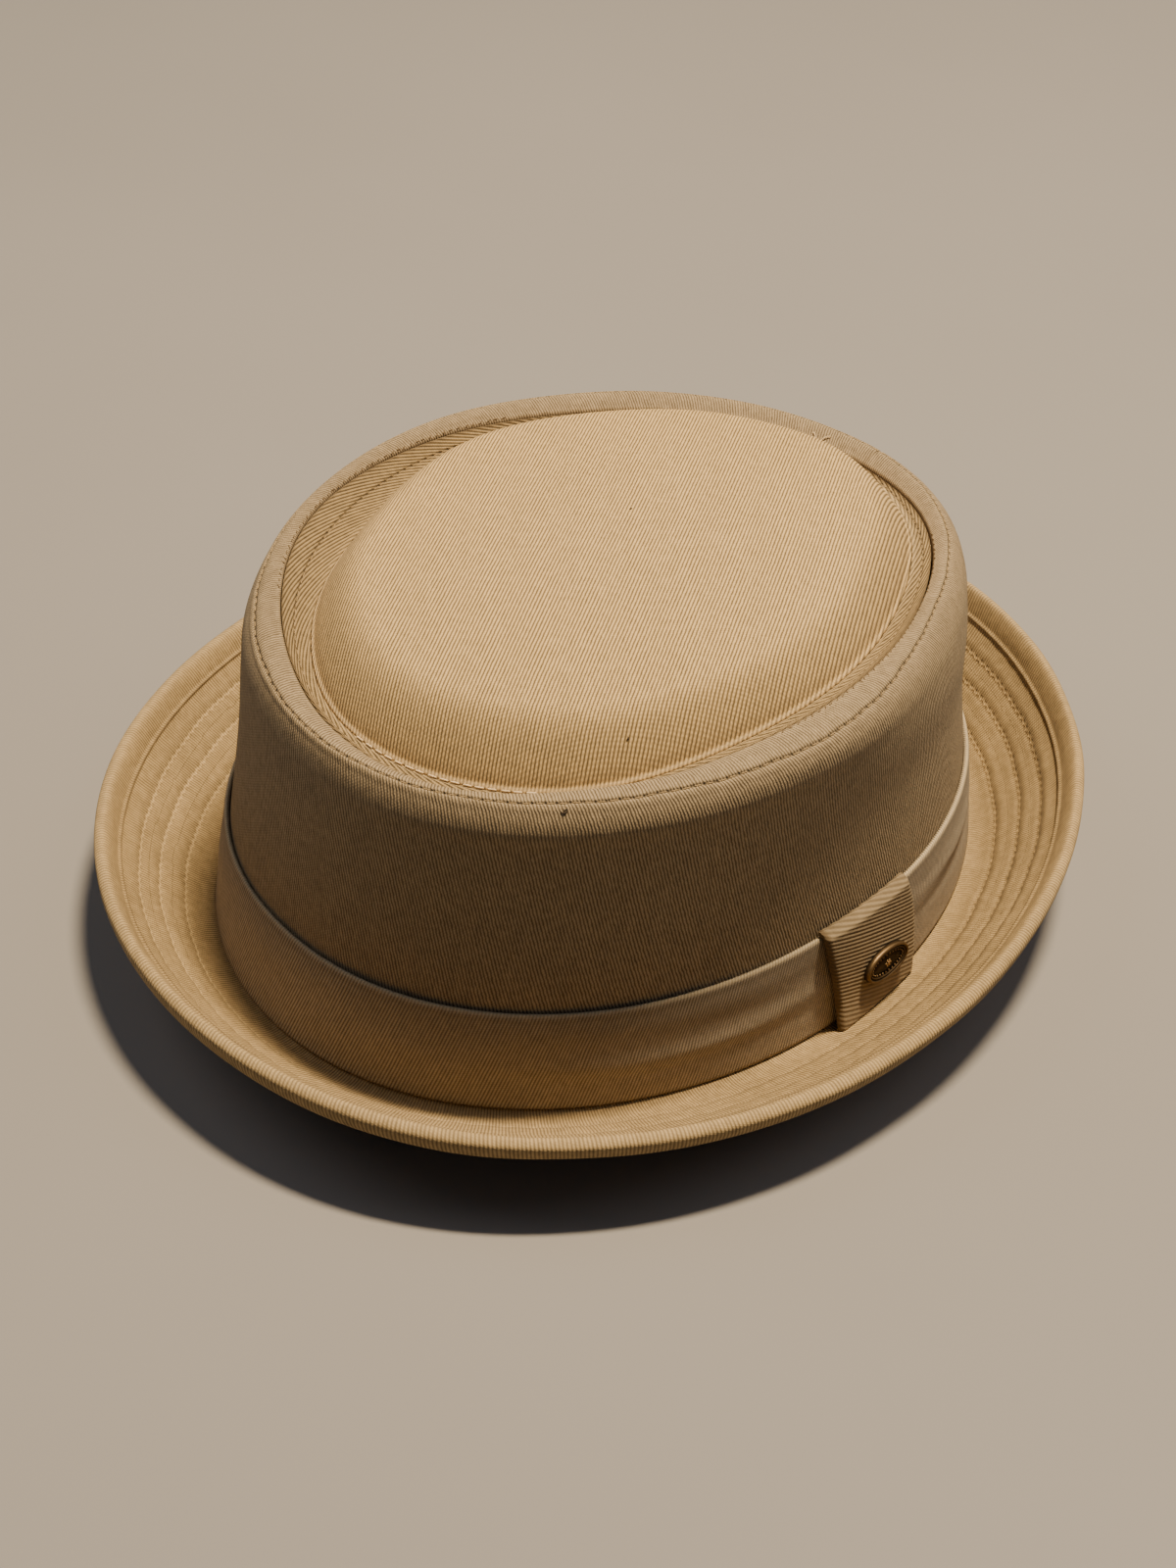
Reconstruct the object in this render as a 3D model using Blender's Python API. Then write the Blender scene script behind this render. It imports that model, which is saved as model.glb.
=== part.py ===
"""Pork pie hat in cotton twill.

Seven pieces: the crown's side wall with its rolled rim, the gusset that goes
down inside the rim, the domed tip, the bowl-shaped brim, the band, the keeper
tab over the band and the badge on the tab.

Sizes are in millimetres and become metres where a point is made. +Z is up and
the foot of the brim rests on z = 0. The front of the hat faces -Y, and +X is
the wearer's left side, where the tab is. Angles go round from +X through the
back (+Y, 90 degrees), the wearer's right (180) and the front (270).
"""
import math
from collections import namedtuple

import bmesh
import bpy
from mathutils import Vector

MM = 0.001
COLUMNS = 72                 # columns in each wall that goes right round
GAP = 0.3                    # clearance between neighbouring pieces

SIDE_WALL = 1.8              # cloth and its backing in the crown side
GUSSET_DROP = 1.9            # gusset wall, measured straight down
TIP_WALL = 1.9
BRIM_WALL = 2.0
BAND_WALL = 1.3
KEEPER_WALL = 1.7

FOOT_TOP = BRIM_WALL         # top of the brim's flat foot, under the crown
SEAT = FOOT_TOP + GAP        # the level where crown side and band begin

# The crown side's outer face, from its foot up to the edge stitching.
# square swells the oval's quarters, egg widens the back, the three lifts
# raise both sides, the wearer's left and the back, and give is how much of
# the rim's own unevenness a station takes up.
Station = namedtuple("Station", "name half_length half_width centre_x centre_y height "
                                "square egg side_lift left_lift back_lift give")
CROWN = (
    Station("foot",      105.3, 85.9, 0.0, 5.7, SEAT, 0.03, 0.000, 0.0, 0.0, 0.0, 0.0),
    Station("band top",   99.6, 81.4, 0.0, 5.7, 30.6, 0.11, 0.000, 0.0, 0.0, 0.0, 0.0),
    Station("waist",      96.3, 79.0, 0.3, 5.8, 56.0, 0.06, -0.01, 0.5, -0.4, 0.2, 0.0),
    Station("shoulder",   94.3, 78.4, 0.8, 6.0, 77.5, 0.01, -0.02, 1.8, -1.2, 0.6, 0.3),
    Station("roll low",   93.7, 78.0, 1.0, 6.0, 82.6, -0.01, -0.03, 2.2, -1.5, 0.8, 0.65),
    Station("roll high",  92.4, 76.7, 0.9, 5.9, 86.4, -0.05, -0.03, 2.2, -1.6, 0.8, 0.9),
    Station("edge stitch", 90.5, 74.9, 0.5, 5.4, 88.4, -0.07, -0.03, 2.2, -1.6, 0.8, 1.0),
)

# The rim and the valley inside it, by angle. out and rise are how far the rim
# strays from its oval. width and tuck take the inner seam in and down from the
# edge stitching, and inset and drop take the tip seam in and down from there.
# The valley is widest and deepest at the right front.
Rim = namedtuple("Rim", "angle out rise width tuck inset drop")
RIM = (
    Rim(0.0,    1.1, -0.2, 6.9, -1.4, 4.5, 3.1),
    Rim(30.0,  -1.9,  0.5, 4.0,  0.1, 5.1, 3.6),
    Rim(60.0,   0.0,  1.5, 4.2,  1.3, 4.5, 0.9),
    Rim(90.0,   0.1,  0.6, 5.7,  2.0, 2.2, 1.0),
    Rim(120.0,  0.1,  0.0, 5.9,  1.5, 3.0, 2.6),
    Rim(150.0,  0.0, -0.2, 6.0,  2.0, 4.0, 3.5),
    Rim(180.0,  0.3,  0.3, 5.2,  1.3, 5.8, 4.6),
    Rim(210.0,  0.6,  0.6, 4.0, -0.2, 9.4, 6.9),
    Rim(240.0,  0.1,  0.3, 6.0, -1.6, 6.6, 6.0),
    Rim(270.0, -0.9,  0.4, 6.1,  2.0, 3.5, 2.5),
    Rim(300.0,  0.3, -0.1, 4.5,  3.0, 5.0, 2.5),
    Rim(330.0,  0.9, -0.2, 5.7,  0.9, 4.7, 3.5),
)
CREST_SHARE = 0.45           # the rim's crest, on the way from stitching to seam
CREST_RISE = 0.7             # and how far it stands above the stitching

# The tip: a cushion that rises from its seam on a rounded shoulder.
TIP_SHOULDER_RISE = 12.0     # height gained over the shoulder
TIP_SHOULDER_SHARE = 0.174   # how much of the way to the middle it takes
TIP_DOME_RISE = 2.6          # slow dome over the whole top
TIP_RINGS = (1.0, 0.962, 0.924, 0.88, 0.82, 0.66, 0.38)

# The brim's upper edge, measured out and up from the foot of the band.
Edge = namedtuple("Edge", "angle out rise")
BRIM_EDGE = (
    Edge(0.0, 30.6, 21.8),
    Edge(45.0, 26.4, 26.6),
    Edge(90.0, 24.9, 28.0),
    Edge(135.0, 29.8, 23.2),
    Edge(180.0, 32.2, 19.8),
    Edge(225.0, 29.3, 23.4),
    Edge(270.0, 26.4, 25.4),
    Edge(315.0, 29.4, 22.1),
)
FOOT_INSET = 7.0             # the flat foot reaches this far in under the crown
FOOT_OUTSET = 1.6            # and this far out on the underside

# The brim's section as shares of the edge's out and rise: upper face from the
# band to the fold and over the rolled edge, then the under face back again.
# swell pushes a point off the straight share, square to the slope.
Share = namedtuple("Share", "name out rise swell")
BRIM_UPPER = (
    Share("flat",        0.12, 0.025, 0.0),
    Share("first row",   0.26, 0.150, 0.0),
    Share("second row",  0.47, 0.37, 0.0),
    Share("third row",   0.64, 0.585, 0.0),
    Share("fold",        0.79, 0.795, 0.0),
    Share("roll inside", 0.85, 0.93, 0.5),
    Share("roll top",    0.925, 1.03, 0.1),
)
BRIM_UNDER = (
    Share("edge",        0.985, 1.00, 0.0),
    Share("roll under",  0.960, 0.87, -0.9),
    Share("under fold",  0.82, 0.68, -1.3),
    Share("under third", 0.65, 0.47, -1.2),
    Share("under first", 0.37, 0.18, -1.3),
)

BAND_HEIGHT = 28.2           # from the band's foot to its folded top edge
# The band's outer face: share of its height, how far it stands off its
# straight lay, and how far it buckles beside the tab.
Lay = namedtuple("Lay", "share off buckle")
BAND_LAYS = (
    Lay(0.00, 0.0, 0.0),
    Lay(0.30, 0.10, 0.15),
    Lay(0.55, 0.15, 0.75),
    Lay(0.78, 0.05, 0.10),
    Lay(0.96, 0.0, 0.0),
)
BUCKLE_ANGLE = 335.0         # middle of the soft fold in front of the tab
BUCKLE_SPREAD = 26.0         # degrees to either side

# The tab's centre line and width by height over the band's foot. It leans
# towards the front as it goes up.
Strip = namedtuple("Strip", "height centre_y width off")
KEEPER = (
    Strip(0.5, 19.8, 27.2, 0.60),
    Strip(7.0, 20.0, 28.8, 0.45),
    Strip(15.0, 19.6, 29.9, 0.30),
    Strip(23.0, 18.4, 30.4, 0.20),
    Strip(28.6, 17.2, 29.8, 0.05),
)
KEEPER_COLUMNS = 7

BADGE_HALF_LENGTH = 7.75
BADGE_HALF_HEIGHT = 4.4
BADGE_CENTRE_Y = 20.9
BADGE_CENTRE_Z = 12.5
BADGE_TILT = -4.0            # degrees, its back end up
BADGE_SIDES = 32
Turn = namedtuple("Turn", "name in_by up")
BADGE_TURNS = (
    Turn("back",        0.9, 0.0),
    Turn("back edge",   0.1, 0.25),
    Turn("side",        0.0, 0.9),
    Turn("rim outside", 0.35, 1.5),
    Turn("rim top",     0.85, 1.7),
    Turn("rim inside",  1.35, 1.45),
    Turn("floor",       1.65, 0.95),
    Turn("dome low",    2.5, 1.15),
    Turn("dome high",   3.7, 1.5),
)

Finish = namedtuple("Finish", "red green blue roughness metallic")
TWILL = Finish(0.54, 0.385, 0.215, 0.86, 0.0)
TWILL_TOP = Finish(0.56, 0.40, 0.225, 0.86, 0.0)
TWILL_BAND = Finish(0.50, 0.35, 0.19, 0.86, 0.0)
RIB = Finish(0.47, 0.33, 0.17, 0.88, 0.0)
OLD_BRASS = Finish(0.21, 0.115, 0.05, 0.42, 1.0)


def periodic(rows, column, degrees):
    """A smooth closed curve through one column of a table kept by angle."""
    count = len(rows)
    step = 360.0 / count
    place = (degrees % 360.0) / step
    i = int(place)
    t = place - i
    p0, p1, p2, p3 = (getattr(rows[(i + k) % count], column) for k in (-1, 0, 1, 2))
    return 0.5 * (2 * p1 + (p2 - p0) * t + (2 * p0 - 5 * p1 + 4 * p2 - p3) * t * t
                  + (3 * p1 - p0 - 3 * p2 + p3) * t ** 3)


def degrees_at(j):
    return 360.0 * j / COLUMNS


def station_point(s, degrees, grow=0.0):
    """The point of a station's oval at an angle, moved out by grow."""
    a = math.radians(degrees)
    c, n = math.cos(a), math.sin(a)
    power = 2.0 + s.square
    r = (abs(c) ** power + abs(n) ** power) ** (-1.0 / power)
    x = (s.half_width + grow) * r * c * (1.0 + s.egg * n) + s.centre_x
    y = (s.half_length + grow) * r * n + s.centre_y
    z = s.height + s.side_lift * math.cos(2 * a) + s.left_lift * c + s.back_lift * n
    return Vector((x, y, z))


def outward(s, degrees):
    """The level direction that leaves a station's oval square to it."""
    t = station_point(s, degrees + 0.5) - station_point(s, degrees - 0.5)
    return Vector((t.y, -t.x, 0.0)).normalized()


def crown_point(s, degrees):
    """A station's point, with its part of the rim's unevenness."""
    p = station_point(s, degrees) + outward(s, degrees) * (s.give * periodic(RIM, "out", degrees))
    p.z += s.give * periodic(RIM, "rise", degrees)
    return p


def between(low, high, share):
    """A station part of the way from one row to the next."""
    mixed = [a + (b - a) * share for a, b in zip(low[1:], high[1:])]
    return Station("between", *mixed)


def band_station(height):
    """The crown's outer face at a height over the band's foot."""
    return between(CROWN[0], CROWN[1], height / (CROWN[1].height - SEAT))


def plan_centre():
    """Middle of the brim's outline, which becomes the origin."""
    xs, ys = [], []
    for k in range(360):
        p = brim_edge_point(float(k))
        xs.append(p.x)
        ys.append(p.y)
    return Vector(((min(xs) + max(xs)) / 2, (min(ys) + max(ys)) / 2, 0.0))


def band_foot(degrees):
    """Where the band's outer face meets the brim."""
    p = station_point(CROWN[0], degrees) + outward(CROWN[0], degrees) * (GAP + BAND_WALL)
    p.z = SEAT
    return p


def brim_edge_point(degrees):
    n = outward(CROWN[0], degrees)
    return band_foot(degrees) + n * periodic(BRIM_EDGE, "out", degrees)


def finish(name, mesh_data, look):
    """Turn a built mesh into a named piece with its own finish."""
    bmesh.ops.recalc_face_normals(mesh_data, faces=mesh_data.faces)
    mesh = bpy.data.meshes.new(name)
    mesh_data.to_mesh(mesh)
    mesh_data.free()
    for polygon in mesh.polygons:
        polygon.use_smooth = True
    piece = bpy.data.objects.new(name, mesh)
    bpy.context.scene.collection.objects.link(piece)
    material = bpy.data.materials.new(name + "_finish")
    material.use_nodes = True
    shader = material.node_tree.nodes["Principled BSDF"]
    shader.inputs["Base Color"].default_value = (look.red, look.green, look.blue, 1.0)
    shader.inputs["Roughness"].default_value = look.roughness
    shader.inputs["Metallic"].default_value = look.metallic
    mesh.materials.append(material)
    return piece


def place(p):
    return (p - ORIGIN) * MM


def swept(name, sections, look):
    """A closed ring from closed sections set round the hat."""
    bm = bmesh.new()
    rings = [[bm.verts.new(place(p)) for p in section] for section in sections]
    count = len(rings)
    for j in range(count):
        here, there = rings[j], rings[(j + 1) % count]
        for i in range(len(here)):
            k = (i + 1) % len(here)
            bm.faces.new((here[i], here[k], there[k], there[i]))
    return finish(name, bm, look)


def inner_wall(points, out, wall):
    """The hidden face of a wall: each point moved in, square to the section."""
    hidden = []
    for i, p in enumerate(points):
        before = points[max(i - 1, 0)]
        after = points[min(i + 1, len(points) - 1)]
        run = after - before
        along = run.dot(out)
        rise = run.z
        size = math.hypot(along, rise)
        # The section runs up and then inward, so in and down is the hidden side.
        hidden.append(p + (out * (-rise / size) + Vector((0, 0, 1)) * (along / size)) * wall)
    return hidden


def build_crown_side():
    sections = []
    for j in range(COLUMNS):
        deg = degrees_at(j)
        out = outward(CROWN[0], deg)
        face = [crown_point(s, deg) for s in CROWN] + [crest_point(deg), seam_point(deg)]
        hidden = inner_wall(face, out, SIDE_WALL)
        # Foot and seam are cut level and upright, so the pieces there meet flush.
        hidden[0] = face[0] - out * SIDE_WALL
        hidden[-1] = face[-1] - Vector((0, 0, SIDE_WALL))
        sections.append(face + hidden[::-1])
    return swept("crown_side", sections, TWILL)


def seam_point(degrees):
    """The inner seam, where the rim ends and the gusset begins."""
    p = crown_point(CROWN[-1], degrees)
    p -= outward(CROWN[-1], degrees) * periodic(RIM, "width", degrees)
    p.z -= periodic(RIM, "tuck", degrees)
    return p


def crest_point(degrees):
    """The rim's crest, between its edge stitching and the inner seam."""
    stitch, seam = crown_point(CROWN[-1], degrees), seam_point(degrees)
    p = stitch + (seam - stitch) * CREST_SHARE
    p.z += CREST_RISE
    return p


def tip_seam(degrees, extra=0.0):
    """The seam between gusset and tip, moved in by extra."""
    p = seam_point(degrees)
    n = outward(CROWN[-1], degrees)
    p = p - n * (periodic(RIM, "inset", degrees) + extra)
    p.z -= periodic(RIM, "drop", degrees)
    return p


def build_gusset():
    sections = []
    down = Vector((0, 0, -GUSSET_DROP))
    for j in range(COLUMNS):
        deg = degrees_at(j)
        n = outward(CROWN[-1], deg)
        top = seam_point(deg) - n * GAP
        low = tip_seam(deg)
        middle = (top + low) / 2 + Vector((0, 0, -0.5)) + n * 0.2
        face = [top, middle, low]
        sections.append(face + [p + down for p in reversed(face)])
    return swept("rim_gusset", sections, TWILL)


def tip_height(share):
    over = min(1.0, (1.0 - share) / TIP_SHOULDER_SHARE)
    return (TIP_SHOULDER_RISE * math.sin(math.pi / 2 * over)
            + TIP_DOME_RISE * (1.0 - share * share))


def build_tip():
    seam = [tip_seam(degrees_at(j), GAP) for j in range(COLUMNS)]
    middle = sum(seam, Vector()) / COLUMNS
    centre = Vector((CROWN[-1].centre_x, CROWN[-1].centre_y, middle.z))

    def face_point(j, share):
        p = centre + (seam[j] - centre) * share
        p.z = centre.z + (seam[j].z - centre.z) * share ** 3 + tip_height(share)
        return p

    bm = bmesh.new()
    upper, under = [], []
    for share in TIP_RINGS:
        upper.append([bm.verts.new(place(face_point(j, share))) for j in range(COLUMNS)])
    for k, share in enumerate(TIP_RINGS):
        ring = []
        for j in range(COLUMNS):
            p = face_point(j, share)
            if k == 0:
                q = p - Vector((0, 0, TIP_WALL))
            else:
                a, b = face_point(j, share + 0.01), face_point(j, share - 0.01)
                level = Vector((a.x - b.x, a.y - b.y, 0.0))
                width, rise = level.length, b.z - a.z
                size = math.hypot(width, rise)
                q = p - (level.normalized() * (rise / size) + Vector((0, 0, width / size))) * TIP_WALL
            ring.append(bm.verts.new(place(q)))
        under.append(ring)
    pole = centre + Vector((0, 0, tip_height(0.0)))
    top_pole = bm.verts.new(place(pole))
    low_pole = bm.verts.new(place(pole - Vector((0, 0, TIP_WALL))))
    for j in range(COLUMNS):
        k = (j + 1) % COLUMNS
        for rings in (upper, under):
            for a, b in zip(rings, rings[1:]):
                bm.faces.new((a[j], a[k], b[k], b[j]))
        bm.faces.new((upper[0][j], under[0][j], under[0][k], upper[0][k]))
        bm.faces.new((upper[-1][j], upper[-1][k], top_pole))
        bm.faces.new((under[-1][k], under[-1][j], low_pole))
    return finish("crown_tip", bm, TWILL_TOP)


def build_brim():
    sections = []
    up = Vector((0, 0, 1))
    for j in range(COLUMNS):
        deg = degrees_at(j)
        n = outward(CROWN[0], deg)
        foot = band_foot(deg)
        reach = periodic(BRIM_EDGE, "out", deg)
        rise = periodic(BRIM_EDGE, "rise", deg)
        slope = Vector((reach, rise)).normalized()

        def share_point(s):
            p = foot + n * (reach * s.out) + up * (rise * s.rise)
            return p + (n * -slope.y + up * slope.x) * s.swell

        inner = foot - n * (GAP + BAND_WALL + FOOT_INSET)
        section = [Vector((inner.x, inner.y, 0.0)), Vector((inner.x, inner.y, FOOT_TOP))]
        section.append(Vector((foot.x, foot.y, FOOT_TOP)) + n * 0.4)
        section += [share_point(s) for s in BRIM_UPPER]
        section += [share_point(s) for s in BRIM_UNDER]
        heel = foot + n * FOOT_OUTSET
        section.append(Vector((heel.x, heel.y, 0.0)))
        sections.append(section)
    return swept("brim", sections, TWILL)


def buckle(degrees):
    away = (degrees - BUCKLE_ANGLE + 180.0) % 360.0 - 180.0
    return math.exp(-(away / BUCKLE_SPREAD) ** 2 * 2.0)


def band_face(degrees, lay):
    s = band_station(BAND_HEIGHT * lay.share)
    n = outward(CROWN[0], degrees)
    off = GAP + BAND_WALL + lay.off + lay.buckle * buckle(degrees)
    p = station_point(s, degrees) + n * off
    p.z = SEAT + GAP + (BAND_HEIGHT - GAP) * lay.share
    return p


def build_band():
    sections = []
    for j in range(COLUMNS):
        deg = degrees_at(j)
        n = outward(CROWN[0], deg)
        face = [band_face(deg, lay) for lay in BAND_LAYS]
        top = face[-1] - n * (BAND_WALL / 2)
        top.z = SEAT + BAND_HEIGHT
        back = []
        for lay in (BAND_LAYS[-1], BAND_LAYS[2], BAND_LAYS[0]):
            p = band_face(deg, lay) - n * (BAND_WALL + lay.off + lay.buckle * buckle(deg))
            back.append(p)
        sections.append(face + [top] + back)
    return swept("hat_band", sections, TWILL_BAND)


def side_degrees(station, y):
    """The angle on the wearer's left where a station's oval has this y."""
    low, high = -60.0, 75.0
    for _ in range(40):
        mid = (low + high) / 2
        if station_point(station, mid).y < y:
            low = mid
        else:
            high = mid
    return (low + high) / 2


def keeper_point(height, y, off):
    """A point off the band's outer face, at a height and a place along it."""
    s = band_station(height)
    deg = side_degrees(s, y)
    p = station_point(s, deg) + outward(CROWN[0], deg) * (GAP + BAND_WALL + off)
    p.z = SEAT + height
    return p


def build_keeper():
    bm = bmesh.new()
    outer, inner = [], []
    for strip in KEEPER:
        row_out, row_in = [], []
        for c in range(KEEPER_COLUMNS):
            y = strip.centre_y + strip.width * (c / (KEEPER_COLUMNS - 1) - 0.5)
            clear = 0.7 + strip.off
            row_in.append(keeper_point(strip.height, y, clear))
            row_out.append(keeper_point(strip.height, y, clear + KEEPER_WALL))
        outer.append(row_out)
        inner.append(row_in)
    # The top is folded in over the band's edge, towards the crown.
    last = KEEPER[-1]
    crest_out, crest_mid, lip_top, lip_low = [], [], [], []
    for c in range(KEEPER_COLUMNS):
        y = last.centre_y + last.width * (c / (KEEPER_COLUMNS - 1) - 0.5)
        crest_out.append(keeper_point(last.height + 0.9, y, KEEPER_WALL + 0.1))
        crest_mid.append(keeper_point(last.height + 1.25, y, KEEPER_WALL - 1.0))
        lip_top.append(keeper_point(last.height + 1.05, y, 0.3 - BAND_WALL))
        lip_low.append(keeper_point(last.height + 0.0, y, 0.3 - BAND_WALL))
    loop = outer + [crest_out, crest_mid, lip_top, lip_low] + inner[::-1]
    rows = [[bm.verts.new(place(p)) for p in row] for row in loop]
    count = len(rows)
    for i in range(count):
        a, b = rows[i], rows[(i + 1) % count]
        for c in range(KEEPER_COLUMNS - 1):
            bm.faces.new((a[c], a[c + 1], b[c + 1], b[c]))
    for c in (0, KEEPER_COLUMNS - 1):
        bm.faces.new([row[c] for row in rows])
    return finish("band_keeper", bm, RIB)


def build_badge():
    centre = keeper_point(BADGE_CENTRE_Z, BADGE_CENTRE_Y, 0.7 + 0.35 + KEEPER_WALL + GAP)
    ahead = keeper_point(BADGE_CENTRE_Z, BADGE_CENTRE_Y + 4.0, 0.0)
    behind = keeper_point(BADGE_CENTRE_Z, BADGE_CENTRE_Y - 4.0, 0.0)
    above = keeper_point(BADGE_CENTRE_Z + 4.0, BADGE_CENTRE_Y, 0.0)
    below = keeper_point(BADGE_CENTRE_Z - 4.0, BADGE_CENTRE_Y, 0.0)
    along = (ahead - behind).normalized()
    up = (above - below).normalized()
    out = along.cross(up).normalized()
    up = out.cross(along).normalized()
    tilt = math.radians(BADGE_TILT)
    long_axis = along * math.cos(tilt) + up * math.sin(tilt)
    short_axis = up * math.cos(tilt) - along * math.sin(tilt)
    bm = bmesh.new()
    rings = []
    for turn in BADGE_TURNS:
        ring = []
        for k in range(BADGE_SIDES):
            a = 2 * math.pi * k / BADGE_SIDES
            p = (centre + long_axis * ((BADGE_HALF_LENGTH - turn.in_by) * math.cos(a))
                 + short_axis * ((BADGE_HALF_HEIGHT - turn.in_by) * math.sin(a)) + out * turn.up)
            ring.append(bm.verts.new(place(p)))
        rings.append(ring)
    for a, b in zip(rings, rings[1:]):
        for k in range(BADGE_SIDES):
            m = (k + 1) % BADGE_SIDES
            bm.faces.new((a[k], a[m], b[m], b[k]))
    back = bm.verts.new(place(centre + out * BADGE_TURNS[0].up))
    crown = bm.verts.new(place(centre + out * (BADGE_TURNS[-1].up + 0.1)))
    for k in range(BADGE_SIDES):
        m = (k + 1) % BADGE_SIDES
        bm.faces.new((rings[0][m], rings[0][k], back))
        bm.faces.new((rings[-1][k], rings[-1][m], crown))
    return finish("badge", bm, OLD_BRASS)


for thing in list(bpy.data.objects):
    bpy.data.objects.remove(thing, do_unlink=True)

ORIGIN = plan_centre()
build_brim()
build_crown_side()
build_gusset()
build_tip()
build_band()
build_keeper()
build_badge()
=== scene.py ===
"""Looks of the pork pie hat: fine cloth surfaces, seams, stitches, badge, floor, light and camera.

Lengths in the tables are millimetres; points become metres when a mesh is made.
Angles go round from +X (the wearer's left) through the back, the right and the front.
"""
import math
from collections import namedtuple

import bpy
import numpy as np
from mathutils import Matrix, Vector


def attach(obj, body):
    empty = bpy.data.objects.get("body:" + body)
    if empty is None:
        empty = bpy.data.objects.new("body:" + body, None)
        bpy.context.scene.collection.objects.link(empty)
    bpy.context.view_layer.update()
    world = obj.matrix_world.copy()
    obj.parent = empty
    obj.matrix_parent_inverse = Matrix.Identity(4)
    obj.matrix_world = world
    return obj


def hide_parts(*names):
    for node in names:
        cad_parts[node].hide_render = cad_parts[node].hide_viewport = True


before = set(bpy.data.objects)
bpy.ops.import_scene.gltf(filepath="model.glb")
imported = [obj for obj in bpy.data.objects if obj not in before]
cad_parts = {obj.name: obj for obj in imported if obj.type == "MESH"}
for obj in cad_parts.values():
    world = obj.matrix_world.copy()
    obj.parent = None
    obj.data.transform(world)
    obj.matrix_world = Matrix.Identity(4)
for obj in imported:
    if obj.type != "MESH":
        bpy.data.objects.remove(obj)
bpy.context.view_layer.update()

MM = 0.001
ROUND = 560                      # columns in the fine walls
rng = np.random.default_rng(7)

# ---------------------------------------------------------------- sizes, as in the part

GAP = 0.3
SIDE_WALL, GUSSET_DROP, TIP_WALL, BRIM_WALL, BAND_WALL, KEEPER_WALL = 1.8, 1.9, 1.9, 2.0, 1.3, 1.7
FOOT_TOP = BRIM_WALL
SEAT = FOOT_TOP + GAP
Station = namedtuple("Station", "name half_length half_width centre_x centre_y height "
                                "square egg side_lift left_lift back_lift give")
CROWN = (
    Station("foot",      105.3, 85.9, 0.0, 5.7, SEAT, 0.03, 0.000, 0.0, 0.0, 0.0, 0.0),
    Station("band top",   99.6, 81.4, 0.0, 5.7, 30.6, 0.11, 0.000, 0.0, 0.0, 0.0, 0.0),
    Station("waist",      96.3, 79.0, 0.3, 5.8, 56.0, 0.06, -0.01, 0.5, -0.4, 0.2, 0.0),
    Station("shoulder",   94.3, 78.4, 0.8, 6.0, 77.5, 0.01, -0.02, 1.8, -1.2, 0.6, 0.3),
    Station("roll low",   93.7, 78.0, 1.0, 6.0, 82.6, -0.01, -0.03, 2.2, -1.5, 0.8, 0.65),
    Station("roll high",  92.4, 76.7, 0.9, 5.9, 86.4, -0.05, -0.03, 2.2, -1.6, 0.8, 0.9),
    Station("edge stitch", 90.5, 74.9, 0.5, 5.4, 88.4, -0.07, -0.03, 2.2, -1.6, 0.8, 1.0),
)
# how the rim strays from its oval, then the inner seam and the tip seam from there
Rim = namedtuple("Rim", "angle out rise width tuck inset drop")
RIM = (
    Rim(0.0,    1.1, -0.2, 6.9, -1.4, 4.5, 3.1),
    Rim(30.0,  -1.9,  0.5, 4.0,  0.1, 5.1, 3.6),
    Rim(60.0,   0.0,  1.5, 4.2,  1.3, 4.5, 0.9),
    Rim(90.0,   0.1,  0.6, 5.7,  2.0, 2.2, 1.0),
    Rim(120.0,  0.1,  0.0, 5.9,  1.5, 3.0, 2.6),
    Rim(150.0,  0.0, -0.2, 6.0,  2.0, 4.0, 3.5),
    Rim(180.0,  0.3,  0.3, 5.2,  1.3, 5.8, 4.6),
    Rim(210.0,  0.6,  0.6, 4.0, -0.2, 9.4, 6.9),
    Rim(240.0,  0.1,  0.3, 6.0, -1.6, 6.6, 6.0),
    Rim(270.0, -0.9,  0.4, 6.1,  2.0, 3.5, 2.5),
    Rim(300.0,  0.3, -0.1, 4.5,  3.0, 5.0, 2.5),
    Rim(330.0,  0.9, -0.2, 5.7,  0.9, 4.7, 3.5),
)
CREST_SHARE, CREST_RISE = 0.45, 0.7
TIP_SHOULDER_RISE, TIP_SHOULDER_SHARE, TIP_DOME_RISE = 12.0, 0.174, 2.6
Edge = namedtuple("Edge", "angle out rise")
BRIM_EDGE = (
    Edge(0.0, 30.6, 21.8), Edge(45.0, 26.4, 26.6), Edge(90.0, 24.9, 28.0), Edge(135.0, 29.8, 23.2),
    Edge(180.0, 32.2, 19.8), Edge(225.0, 29.3, 23.4), Edge(270.0, 26.4, 25.4), Edge(315.0, 29.4, 22.1),
)
FOOT_INSET, FOOT_OUTSET = 7.0, 1.6
Share = namedtuple("Share", "name out rise swell")
BRIM_UPPER = (
    Share("flat",        0.12, 0.025, 0.0),
    Share("first row",   0.26, 0.150, 0.0),
    Share("second row",  0.47, 0.37, 0.0),
    Share("third row",   0.64, 0.585, 0.0),
    Share("fold",        0.79, 0.795, 0.0),
)
BRIM_ROLL = (
    Share("fold",        0.79, 0.795, 0.0),
    Share("roll inside", 0.85, 0.93, 0.5),
    Share("roll top",    0.925, 1.03, 0.1),
    Share("edge",        0.985, 1.00, 0.0),
    Share("roll under",  0.960, 0.87, -0.9),
    Share("under fold",  0.82, 0.68, -1.3),
    Share("under third", 0.65, 0.47, -1.2),
    Share("under first", 0.37, 0.18, -1.3),
)
BAND_HEIGHT = 28.2
BUCKLE_ANGLE, BUCKLE_SPREAD = 335.0, 26.0
Strip = namedtuple("Strip", "height centre_y width off")
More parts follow.
